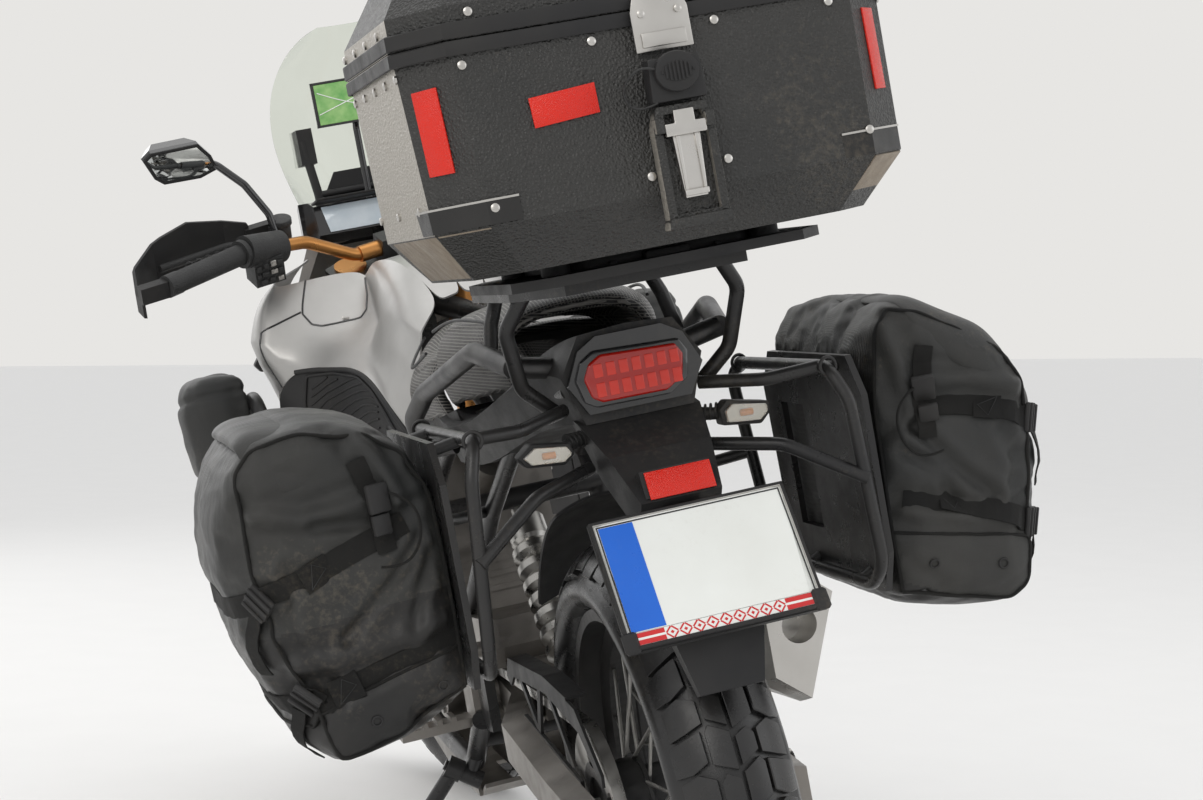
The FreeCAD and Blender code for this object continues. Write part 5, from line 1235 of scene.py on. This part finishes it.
# Soft bags: loops from the front to the rear, swelled as cloth, then folded and trimmed
bagRules = {"voxel": 0.008, "frames": 20, "pressure": 4.0, "cap": 0.011, "strapWidth": 0.026,
            "strapThickness": 0.0022, "fill": 0.7}
bagForms = {1: {"middle": [(262, 556), (259, 700), (262, 800), (290, 850), (335, 884), (400, 898),
                           (452, 890), (488, 858), (502, 800), (505, 742), (499, 690), (486, 636),
                           (464, 575), (438, 506), (422, 502), (345, 524)],
                "rear": [(262, 562), (260, 700), (262, 795), (286, 846), (330, 874), (400, 889), (455, 880),
                         (480, 856), (488, 800), (490, 740), (484, 700), (475, 655), (453, 600), (424, 514),
                         (412, 511), (345, 526)],
                "folds": [([(339, 882), (315, 831), (304, 790)], 9, 11),
                          ([(334, 800), (411, 792), (463, 806)], 7, 10),
                          ([(286, 745), (330, 700), (389, 652)], -6, 8),
                          ([(279, 726), (300, 680), (312, 646)], -5, 8),
                          ([(271, 790), (330, 772), (400, 782)], -5, 8),
                          ([(262, 650), (330, 640), (420, 628), (470, 634)], 6, 12),
                          ([(440, 740), (455, 690), (448, 650)], -5, 12),
                          ([(300, 610), (360, 600), (410, 588)], -3, 9)],
                "straps": [[(300, 766), (360, 748), (420, 728), (474, 711)],
                           [(258, 628), (330, 613), (400, 596), (456, 583)]],
                "squares": [(413, 729), (396, 598)], "flap": 7.0, "flapCentre": (400, 886), "flapHalf": 72,
                "base": [(250, 617), (338, 598), (424, 579), (462, 566)],
                "grommets": [(374, 555), (292, 574)], "buckle": (330, 800)},
            -1: {"middle": [(262, 545), (261, 640), (262, 780), (275, 862), (302, 897), (345, 893),
                            (400, 864), (455, 830), (487, 778), (490, 720), (483, 664), (471, 610),
                            (453, 557), (432, 518), (405, 509), (330, 527)],
                 "rear": [(268, 550), (270, 640), (272, 765), (288, 858), (312, 894), (352, 884),
                          (400, 858), (449, 824), (478, 776), (478, 715), (471, 664), (459, 610),
                          (446, 560), (432, 525), (405, 514), (335, 532)],
                 "folds": [([(300, 870), (312, 820), (318, 770)], 8, 11),
                           ([(319, 745), (360, 690), (405, 645)], -7, 9),
                           ([(340, 800), (400, 790), (455, 770)], 7, 11),
                           ([(300, 720), (340, 690), (352, 650)], -5, 9),
                           ([(290, 650), (350, 632), (430, 610)], 5, 10),
                           ([(430, 720), (440, 680), (430, 640)], -5, 12)],
                 "straps": [[(322, 772), (380, 762), (430, 745), (478, 724)],
                            [(288, 666), (350, 648), (410, 622), (460, 598)]],
                 "squares": [(414, 750), (350, 647)], "flap": -31.0, "flapCentre": (392, 866),
                 "flapHalf": 78, "base": [(272, 627), (340, 611), (424, 592), (462, 584)],
                 "grommets": [(312, 583), (399, 563)], "buckle": (334, 794)}}


def swelled(piece, pinned):
    evened(piece, bagRules["voxel"])
    before = [vertex.co.copy() for vertex in piece.data.vertices]
    group = piece.vertex_groups.new(name="held")
    group.add([i for i, place in enumerate(before) if pinned(place)], 1.0, "REPLACE")
    cloth = piece.modifiers.new("cloth", "CLOTH")
    cloth.settings.quality = 5
    cloth.settings.use_pressure = True
    cloth.settings.uniform_pressure_force = bagRules["pressure"]
    cloth.settings.vertex_group_mass = "held"
    cloth.settings.effector_weights.gravity = 0.0
    cloth.settings.tension_stiffness = 40
    cloth.settings.bending_stiffness = 1.5
    cloth.settings.shrink_min = -0.03
    cloth.point_cache.frame_start, cloth.point_cache.frame_end = 1, bagRules["frames"]
    for step in range(1, bagRules["frames"] + 1):
        bpy.context.scene.frame_set(step)
    pickOnly(piece)
    bpy.ops.object.modifier_apply(modifier=cloth.name)
    bpy.context.scene.frame_set(1)
    for vertex, start in zip(piece.data.vertices, before):
        move = vertex.co - start
        if move.length > bagRules["cap"]:
            vertex.co = start + move.normalized() * bagRules["cap"]
    piece.vertex_groups.clear()
    return piece


def lineGap(x, z, line):
    best = 1e9
    for (ax, az), (bx, bz) in zip(line, line[1:]):
        dx, dz = bx - ax, bz - az
        share = max(0.0, min(1.0, ((x - ax) * dx + (z - az) * dz) / (dx * dx + dz * dz)))
        best = min(best, math.hypot(x - ax - share * dx, z - az - share * dz))
    return best


# Folds on the rear and outer faces; a strap pulls the cloth in along its line
def folded(piece, side, form):
    normals = [vertex.normal.copy() for vertex in piece.data.vertices]
    for vertex, normal in zip(piece.data.vertices, normals):
        x, y, z = side * vertex.co.x * 1000, vertex.co.y * 1000, vertex.co.z * 1000
        amount = 3.2 * noise.noise(Vector((x, y * 0.6, z)) / 62)
        amount += 1.3 * noise.noise(Vector((x, y, z * 1.7)) / 21)
        rear = max(0.0, normal.y)
        for line, height, width in form["folds"]:
            gap = lineGap(x, z, line)
            if rear > 0.2 and gap < 3 * width:
                amount += rear * (height * math.exp(-(gap / width) ** 2) - 0.4 * height
                                  * math.exp(-((gap - 1.7 * width) / width) ** 2))
        outer = max(0.0, normal.x * side)
        for strap in form["straps"]:
            gap = lineGap(x, z, strap) if rear > outer else abs(z - strap[-1][1] + 8)
            if max(rear, outer) > 0.3:
                amount -= 5.5 * math.exp(-(gap / 17) ** 2)
        if outer > 0.3:
            amount += outer * 4 * math.sin(y / 34 + z / 60) * math.exp(-((z - 800) / 70) ** 2)
        if x < 272:
            amount = min(amount, 0.0)
        if z < 560 and rear < 0.3:
            amount *= 0.3
        vertex.co += normal * amount / 1000
    return piece


def loops(form, side):
    stations = [(656, 0.0, 0.86), (661, 0.0, 0.95), (676, 0.0, 0.99), (720, 0.0, 1.0), (800, 0.0, 1.0),
                (880, 0.1, 1.0), (940, 0.6, 1.0), (966, 1.0, 1.0), (976, 1.0, 0.985), (981, 1.0, 0.94)]
    rows = []
    for y, share, scale in stations:
        points = [(ax + (bx - ax) * share, az + (bz - az) * share) for (ax, az), (bx, bz) in
                  zip(form["middle"], form["rear"])]
        cx, cz = sum(p[0] for p in points) / len(points), sum(p[1] for p in points) / len(points)
        rows.append([mm(side * (cx + (x - cx) * scale), y, cz + (z - cz) * scale) for x, z in points])
    return rows


# Flat webbing that follows a surface
def webbingOn(name, surface, points, width, thickness, proud=0.0008, steps=6):
    found = nearestOn(surface, points, steps)
    places = [place for place, normal in found]
    normals = [normal for place, normal in found]
    rows = []
    for i, place in enumerate(places):
        along = (places[min(i + 1, len(places) - 1)] - places[max(i - 1, 0)]).normalized()
        near = normals[max(0, i - 2):i + 3]
        normal = sum(near, Vector()).normalized()
        across = along.cross(normal).normalized()
        centre = place + normal * proud
        rows.append([centre - across * width / 2, centre, centre + across * width / 2])
    ribbon = facing(netPiece(name, rows), sum(normals, Vector()))
    return walled(ribbon, thickness, 1.0), places, normals


# A box of given size set on a surface point, its length along the given way
def setOn(name, place, normal, along, size, lift=0.0, bevel=0.0012):
    piece = block(name, (-size[0] / 2, -size[1] / 2, 0), (size[0] / 2, size[1] / 2, size[2]), bevel)
    along = (along - normal * along.dot(normal)).normalized()
    across = normal.cross(along)
    turn = Matrix((along, across, normal)).transposed().to_4x4()
    piece.data.transform(Matrix.Translation(place + normal * lift) @ turn)
    return piece


def stitchedSquare(place, normal, along, size=0.026, lift=0.003):
    along = (along - normal * along.dot(normal)).normalized()
    across = normal.cross(along)
    corners = [place + normal * lift + along * a * size / 2 + across * b * size / 2 for a, b in
               ((1, 1), (-1, 1), (-1, -1), (1, -1))]
    lines = [corners + corners[:1], [corners[0], corners[2]], [corners[1], corners[3]]]
    return [curveTube("stitches", line, 0.0006, 1) for line in lines]


def ladderBuckle(place, normal, along):
    frame = setOn("buckle", place, normal, along, (0.030, 0.036, 0.006), 0.0022, 0.002)
    bars = [setOn("bar", place + along * d, normal, along, (0.004, 0.036, 0.0035), 0.0072, 0.001) for d in
            (-0.008, 0.003)]
    lip = setOn("lip", place + along * 0.0145, normal, along, (0.005, 0.034, 0.005), 0.0066, 0.0015)
    return [frame, lip] + bars


def ringOn(place, normal, radius, tube):
    deselect()
    bpy.ops.mesh.primitive_torus_add(major_segments=20, minor_segments=8, major_radius=radius,
                                     minor_radius=tube)
    ring = newPiece("eyelet")
    ring.data.transform(Matrix.Translation(place) @ axisTurn(normal).to_matrix().to_4x4())
    return ring


# The rolled top: a flat roll along the bag whose rear end folds down over the edge
def rolledTop(form, side):
    cx, cz = form["flapCentre"]
    tilt = math.radians(form["flap"])
    rows = []
    for y, lift, half, thick in ((662, -14, 0.78, 8), (672, -4, 0.96, 12), (720, 0, 1.0, 14),
                                 (820, 2, 1.0, 15), (900, 1, 1.0, 14), (950, -2, 0.98, 13),
                                 (980, -9, 0.96, 11), (995, -24, 0.92, 8), (999, -42, 0.84, 6),
                                 (999, -56, 0.7, 5), (996, -62, 0.55, 3)):
        row = []
        for step in range(16):
            angle = 2 * math.pi * step / 16
            u = math.copysign(abs(math.cos(angle)) ** 0.7, math.cos(angle)) * form["flapHalf"] * half
            w = math.copysign(abs(math.sin(angle)) ** 0.8, math.sin(angle)) * thick
            w += 4 * math.sin(u / 16 + y / 40) * (1 if w > 0 else 0.3) - 9 * (abs(u) / form["flapHalf"]) ** 2
            if y > 960:
                x = cx + u * math.cos(tilt)
                z = cz + lift + u * math.sin(tilt) - 6 * math.sin(u / 24 + 1) * (y > 990)
                share = min(1.0, (y - 960) / 40)
                row.append(mm(side * x, y - 12 + w * share, z + w * (1 - share)))
            else:
                x = cx + u * math.cos(tilt) - w * math.sin(tilt)
                row.append(mm(side * x, y, cz + lift + u * math.sin(tilt) + w * math.cos(tilt)))
        rows.append(row)
    roll = netPiece("leftBagRoll" if side > 0 else "rightBagRoll", rows, closed=True)
    return subdivided(roll, 2)


def capped(piece):
    editing(piece, [])
    bpy.ops.mesh.select_mode(type="VERT")
    bpy.ops.mesh.select_non_manifold()
    bpy.ops.mesh.fill_holes(sides=0)
    bpy.ops.mesh.select_all(action="SELECT")
    bpy.ops.mesh.normals_make_consistent(inside=False)
    bpy.ops.object.mode_set(mode="OBJECT")
    return piece


def secondFinish(piece, finish, inSecond):
    piece.data.materials.append(finishes[finish])
    for face in piece.data.polygons:
        if inSecond(face.center):
            face.material_index = 1


for side, form in bagForms.items():
    name = "leftBag" if side > 0 else "rightBag"
    shell = capped(netPiece(name, loops(form, side), closed=True))
    swelled(shell, lambda place: abs(place.x) < 0.272)
    subdivided(shell, 1)
    folded(shell, side, form)
    roll = capped(rolledTop(form, side))
    webbing, fittings, trims, threads = [], [], [], []
    for strap, (squareX, squareZ) in zip(form["straps"], form["squares"]):
        endX, endZ = strap[-1]
        path = [mm(side * x, 985, z) for x, z in strap]
        path += [mm(side * (endX + 14), 955, endZ - 4), mm(side * (endX + 26), 900, endZ - 8),
                 mm(side * (endX + 28), 800, endZ - 10), mm(side * (endX + 20), 690, endZ - 10)]
        ribbon, places, normals = webbingOn("strap", shell, path, bagRules["strapWidth"],
                                            bagRules["strapThickness"])
        webbing.append(ribbon)
        along = (places[-8] - places[-12]).normalized()
        spot = len(strap) * 6 - 4
        fittings += ladderBuckle(places[spot], normals[spot],
                                 (places[spot + 1] - places[spot - 1]).normalized())
        square = min(range(len(places)),
                     key=lambda i: (places[i] - Vector(mm(side * squareX, 985, squareZ))).length)
        way = (places[square + 1] - places[square - 1]).normalized()
        webbing.append(setOn("patch", places[square], normals[square], way, (0.036, 0.031, 0.0022), 0.0026,
                             0.0006))
        threads += stitchedSquare(places[square], normals[square], way, 0.025, 0.0051)
        tailPath = [places[spot + 2] + Vector(d) for d in
                    ((0, 0, -0.004), (side * 0.006, -0.02, -0.05), (side * 0.001, -0.024, -0.085))]
        webbing.append(webbingOn("strapTail", shell, tailPath, 0.020, 0.0018, 0.004, 4)[0])
    loop = [mm(side * (x * 0.985 + 4), 980, z * 0.985 + 10) for x, z in form["rear"]]
    trims.append(curveTube("piping", laidOn(shell, loop + loop[:1], 0.0008, 3), 0.0024, 3))
    base = [mm(side * x, 984, z) for x, z in form["base"]]
    lastX, lastZ = form["base"][-1]
    base += [mm(side * (lastX + out), y, lastZ - drop)
             for out, y, drop in ((8, 950, 4), (22, 800, 8), (14, 680, 8))]
    trims.append(curveTube("piping", laidOn(shell, base, 0.0006, 5), 0.0019, 3))
    for x, z in form["grommets"]:
        found, place, normal, index = shell.closest_point_on_mesh(mm(side * x, 990, z))
        fittings.append(ringOn(place + normal * 0.001, normal, 0.0055, 0.0014))
    bx, bz = form["buckle"]
    found, place, normal, index = shell.closest_point_on_mesh(mm(side * bx, 995, bz))
    down = Vector((0, 0, -1))
    hanging = webbingOn("holdStrap", shell,
                        [mm(side * (bx + 12), 990, bz + 46), mm(side * bx, 992, bz),
                         mm(side * (bx - 4), 992, bz - 62)], 0.022, 0.002, 0.003, 5)[0]
    webbing.append(hanging)
    fittings.append(setOn("clip", place, normal, down, (0.034, 0.028, 0.009), 0.005, 0.003))
    fittings.append(setOn("clip", place + Vector((side * 0.001, 0, -0.030)), normal, down,
                          (0.024, 0.024, 0.007), 0.006, 0.0025))
    hook = [place + normal * 0.012 + Vector((side * dx, 0, dz))
            for dx, dz in ((-0.012, 0.004), (-0.03, -0.006), (-0.042, -0.03), (-0.036, -0.062),
                           (-0.012, -0.082), (0.012, -0.076))]
    webbing.append(curveTube("loopCord", hook, 0.0016, 10))
    frontX, frontZ = form["flapCentre"]
    fittings.append(block("frontClip", mm(side * frontX - 18, 646, frontZ - 44),
                          mm(side * frontX + 18, 664, frontZ - 8), 0.004))
    for part, pieces, finish, slot, smooth in (("Straps", webbing, "webbing", "bag_fabric", 40),
                                               ("Fittings", fittings, "mouldedBlack", None, 35),
                                               ("Piping", trims, "webbing", "bag_fabric", 60),
                                               ("Stitches", threads, "gripRubber", "bag_fabric", 60)):
        settle(joined(name + part, pieces), finish, smooth=smooth)
    settle(shell, "bagCloth", smooth=70, replaced=["panniers"])
    secondFinish(shell, "bagBase", lambda place: side * place.x * 280 + place.z * 1000 < 691
                 + (0 if side > 0 else 8))
    settle(roll, "bagCloth", smooth=70)
    print(name, "made")

# Small bags on the crash bars
for side in (1, -1):
    rows = []
    for z, scale, corners in ((744, 0.9, 0), (752, 0.98, 0), (800, 1.0, 6), (850, 1.0, 8), (884, 0.96, 4),
                              (900, 0.84, 0), (906, 0.6, 0)):
        outline = [(330, -392), (372, -400), (412, -396), (430 + corners, -372), (436 + corners, -330),
                   (430 + corners, -290), (412, -266), (372, -262), (330, -270)]
        cx, cy = 380, -332
        rows.append([mm(side * (cx + (x - cx) * scale), cy + (y - cy) * scale, z) for x, y in outline])
    name = "leftPouch" if side > 0 else "rightPouch"
    pouch = capped(netPiece(name, rows, closed=True))
    swelled(pouch, lambda place: abs(place.x) < 0.338)
    subdivided(pouch, 1)
    normals = [vertex.normal.copy() for vertex in pouch.data.vertices]
    for vertex, normal in zip(pouch.data.vertices, normals):
        x, y, z = (value * 1000 for value in vertex.co)
        amount = 2.4 * noise.noise(Vector((x, y, z)) / 38) - 4.0 * math.exp(
            -((z - 868 - 0.2 * (y + 330)) / 5) ** 2)
        vertex.co += normal * amount / 1000
    settle(pouch, "bagCloth", smooth=70, replaced=["guard_bags"])
    zipLine = [mm(side * x, y, 872)
               for x, y in ((345, -398), (400, -402), (434, -380), (444, -330), (434, -280), (400, -258),
                            (345, -264))]
    settle(curveTube(name + "Zip", laidOn(pouch, zipLine, 0.0008, 4), 0.0022, 3), "webbing", smooth=60)
print("bags made")


# Mirrors, switches, screens: places on the steering are in its own frame, turned and leaned by steering
bar = {"mirrorPivot": (352, -98, 1061), "mirrorTilt": -14.0, "glassScale": 0.93}
pivotX, pivotY, pivotZ = bar["mirrorPivot"]
rimOutline = [(289, 1031), (300, 1062), (322, 1093), (404, 1100), (418, 1088), (400, 1046), (384, 1030),
              (320, 1022)]
glasses, rims = [], []
for side in (1, -1):
    pivot = Vector(mm(side * pivotX, pivotY, pivotZ))
    swing = Matrix.Rotation(math.radians(bar["mirrorTilt"]), 4, "X")
    tilt = Matrix.Translation(pivot) @ swing @ Matrix.Translation(-pivot)
    for scale, low, high, group in ((bar["glassScale"], -90.2, -89.2, glasses), (1.0, -93, -88.4, rims)):
        outline = [mm(side * (pivotX + (x - pivotX) * scale), low, pivotZ + (z - pivotZ) * scale)
                   for x, z in rimOutline]
        plate = outlinePlate("mirrorPart", outline, (0, (high - low) / 1000, 0), 0.0012 if group is rims
                             else 0.0002, 2)
        if group is rims:
            sunkFront(plate, 0.0045, 0.0025)
        plate.data.transform(tilt)
        group.append(plate)
settle(joined("mirrorRims", rims), "mouldedBlack", "steering")
settle(joined("mirrorGlasses", glasses), "mirrorGlass", "steering")

buttons, paleButtons = [], []
for side in (1, -1):
    for index, (x, z, width, height) in enumerate(((256, 902, 5, 4), (268, 904, 5, 5), (281, 903, 4, 4),
                                                   (293, 899, 4, 5), (256, 889, 4, 4), (268, 890, 6, 4),
                                                   (283, 888, 6, 4), (294, 886, 3, 4), (258, 875, 5, 4),
                                                   (272, 875, 5, 4), (287, 874, 5, 5))):
        piece = block("button", mm(side * x - width, 33.6, z - height),
                      mm(side * x + width, 38 + (index % 3), z + height), 0.0012, 2)
        (paleButtons if index in (1, 5, 8) and side > 0 else buttons).append(piece)
    buttons.append(rod("reservoirCap", mm(side * 214, -44, 925), mm(side * 214, -44, 937), 0.019, 24, 0.002))
    buttons.append(rod("reservoir", mm(side * 214, -44, 900), mm(side * 214, -44, 926), 0.016, 24, 0.001))
    for step in range(6):
        x = 318 + step * 18
        buttons.append(ringOn(Vector(mm(side * x, 16 + step * 4.4, 925 + step * 1.7)),
                              Vector((side * 0.97, 0.24, 0.09)), 0.0175, 0.0009))
settle(joined("barSwitches", buttons), "gripRubber", "steering")
settle(joined("barButtons", paleButtons), "brushedAlloy", "steering")

# Screen of the phone in its holder, with pale roads across a green map, and the instrument's glass
screen = block("mapGlass", mm(-45, -455.4, 1294), mm(98, -454.2, 1364), 0.0004, 1)
settle(screen, "mapScreen")
roads = []
for line in (((-40, 1300), (-10, 1322), (30, 1318), (94, 1350)), ((20, 1297), (34, 1320), (28, 1360)),
             ((-42, 1350), (0, 1342), (40, 1330), (96, 1312))):
    roads.append(curveTube("road", [mm(x, -454.2, z) for x, z in line], 0.0009, 5, 1))
settle(joined("mapRoads", roads), "plateWhite", smooth=60)
frameBars = [block("phoneRim", mm(left, -456, low), mm(right, -453.6, high), 0.001)
             for left, right, low, high in ((-50.5, 103.5, 1290, 1294), (-50.5, 103.5, 1364, 1368.5),
                                            (-50.5, -45, 1290, 1368.5), (98, 103.5, 1290, 1368.5))]
settle(joined("phoneRims", frameBars), "gripRubber")
glassLow, glassHigh = Vector(mm(0, -485.4, 1109)), Vector(mm(0, -499, 1155))
out = Vector((0, 0.965, 0.26))
glassCorners = [edge + Vector((x, 0, 0)) + out * 0.0004 for edge, x in
                ((glassLow, -0.112), (glassLow, 0.112), (glassHigh, 0.120), (glassHigh, -0.120))]
settle(outlinePlate("dashGlass", glassCorners, out * 0.0012, 0.0004), "dashScreen")
hoodCorners = [mm(*p) for p in ((-136, -500, 1160), (136, -500, 1160), (128, -470, 1166), (-128, -470, 1166))]
settle(outlinePlate("dashHood", hoodCorners, mm(0, 1, 5), 0.002), "mouldedBlack")
print("mirrors, switches and screens made")


# Fasteners and small fittings on the engine, frame and racks, in upright millimetres
def ringOfBolts(x, y, z, radius, count, side, start=0.0):
    places = []
    for step in range(count):
        angle = math.radians(start + 360 * step / count)
        places.append((mm(x, y + radius * math.sin(angle), z + radius * math.cos(angle)), (side, 0, 0)))
    return places


engineBolts = ringOfBolts(-142, 40, 376, 78, 8, -1) + ringOfBolts(134, -120, 376, 68, 8, 1, 20)
engineBolts += ringOfBolts(-132, -118, 372, 55, 6, -1, 30) + ringOfBolts(-128, -176, 330, 23, 3, -1)
boltSet("engineBolts", engineBolts, 0.0048, "steel", kind="hexagon", height=0.005)
capBolts = [(mm(side * 96, y, z), (side, 0, 0)) for side in (1, -1)
            for y, z in ((-220, 712), (-160, 722), (-100, 734))]
capBolts += [(mm(side * 104, y, z), (side, 0, 0)) for side in (1, -1) for y, z in ((-226, 640), (-72, 668))]
boltSet("headBolts", capBolts, 0.0044, "steel", height=0.005)
plateBolts = [(mm(side * 133, y, z), (side, 0, 0)) for side in (1, -1)
              for y, z in ((-300, 270), (-120, 248), (40, 244))]
boltSet("skidBolts", plateBolts, 0.006, "steel", height=0.004)
strapHooks = [ringOn(Vector(mm(side * 213, y, z)), Vector((0.2 * side, 1, 0)), 0.0105, 0.0022)
              for side in (1, -1) for y, z in ((690, 838), (1020, 842))]
settle(joined("rackCollars", strapHooks), "mouldedBlack", smooth=60)
print("fasteners made")


# Floor, light and camera

stage = {"floorSize": 60.0, "camera": (0.855, 3.443, 0.945), "yaw": 14.66, "pitch": 2.54, "lens": 66.67,
         "floorColour": (0.80, 0.79, 0.77), "skyColour": (0.80, 0.79, 0.77), "lampAims": {
             "keyLamp": ((3.2, 4.2, 3.6), (0, 0.3, 0.7)), "fillLamp": ((-4.2, 3.0, 2.2), (0, 0.3, 0.7)),
             "topLamp": ((0.2, -0.6, 4.6), (0, 0, 0.8)), "noseLamp": ((2.2, -4.4, 2.8), (0, -0.4, 0.8))},
         "lampLooks": {
             "keyLamp": (2.6, 75, (1.0, 0.975, 0.94)), "fillLamp": (3.0, 25, (0.95, 0.97, 1.0)),
             "topLamp": (4.0, 45, (1.0, 1.0, 1.0)), "noseLamp": (3.0, 30, (1.0, 1.0, 1.0))}}

deselect()
bpy.ops.mesh.primitive_grid_add(x_subdivisions=4, y_subdivisions=4, size=stage["floorSize"])
floor = newPiece("floor")
floorFinish = bpy.data.materials.new("floorFinish")
floorFinish.use_nodes = True
shader = floorFinish.node_tree.nodes["Principled BSDF"]
grain = noiseOn(floorFinish, coordinates(floorFinish), 6.0, 6.0)
wire(floorFinish,
     blended(floorFinish, grain, stage["floorColour"], tuple(c * 0.96 for c in stage["floorColour"])),
     shader.inputs["Base Color"])
shader.inputs["Roughness"].default_value = 0.85
floor.data.materials.append(floorFinish)

world = bpy.data.worlds.new("studio")
bpy.context.scene.world = world
world.use_nodes = True
light = world.node_tree.nodes["Background"]
seen = addNode(world, "Background")
for shown, colour, strength in ((light, (0.97, 0.98, 1.0), 0.92), (seen, stage["skyColour"], 1.0)):
    shown.inputs["Color"].default_value = (*colour, 1.0)
    shown.inputs["Strength"].default_value = strength
rays = addNode(world, "LightPath").outputs
glossy = calculated(world, "MULTIPLY", rays["Is Glossy Ray"], 0.6)
bounced = calculated(world, "MAXIMUM", glossy, rays["Is Transmission Ray"])
either = calculated(world, "MAXIMUM", rays["Is Camera Ray"], bounced)
mixer = addNode(world, "MixShader")
for output, target in zip((either, light.outputs[0], seen.outputs[0]), mixer.inputs):
    wire(world, output, target)
wire(world, mixer.outputs[0], world.node_tree.nodes["World Output"].inputs["Surface"])


for name, (place, aim) in stage["lampAims"].items():
    size, power, colour = stage["lampLooks"][name]
    deselect()
    bpy.ops.object.light_add(type="AREA", location=place)
    lamp = bpy.context.object
    lamp.name = name
    lamp.data.shape = "SQUARE"
    lamp.data.size = size
    lamp.data.energy = power
    lamp.data.color = colour
    lamp.rotation_euler = axisTurn(Vector(place) - Vector(aim)).to_euler()

cameraPlace = Vector(stage["camera"]) + stance.translation
bpy.ops.object.camera_add(location=cameraPlace)
camera = bpy.context.object
camera.name = "photoCamera"
yaw, pitch = math.radians(stage["yaw"]), math.radians(stage["pitch"])
forward = Vector((-math.sin(yaw) * math.cos(pitch), -math.cos(yaw) * math.cos(pitch), -math.sin(pitch)))
right = Vector((-math.cos(yaw), math.sin(yaw), 0.0))
turned = Matrix((right, right.cross(forward), -forward)).transposed()
camera.matrix_world = Matrix.Translation(cameraPlace) @ turned.to_4x4()
camera.data.lens = stage["lens"]
camera.data.sensor_width = 36.0
camera.data.clip_end = 200.0
bpy.context.scene.camera = camera
bpy.context.scene.view_settings.view_transform = "Standard"

print("camera, light and floor set")
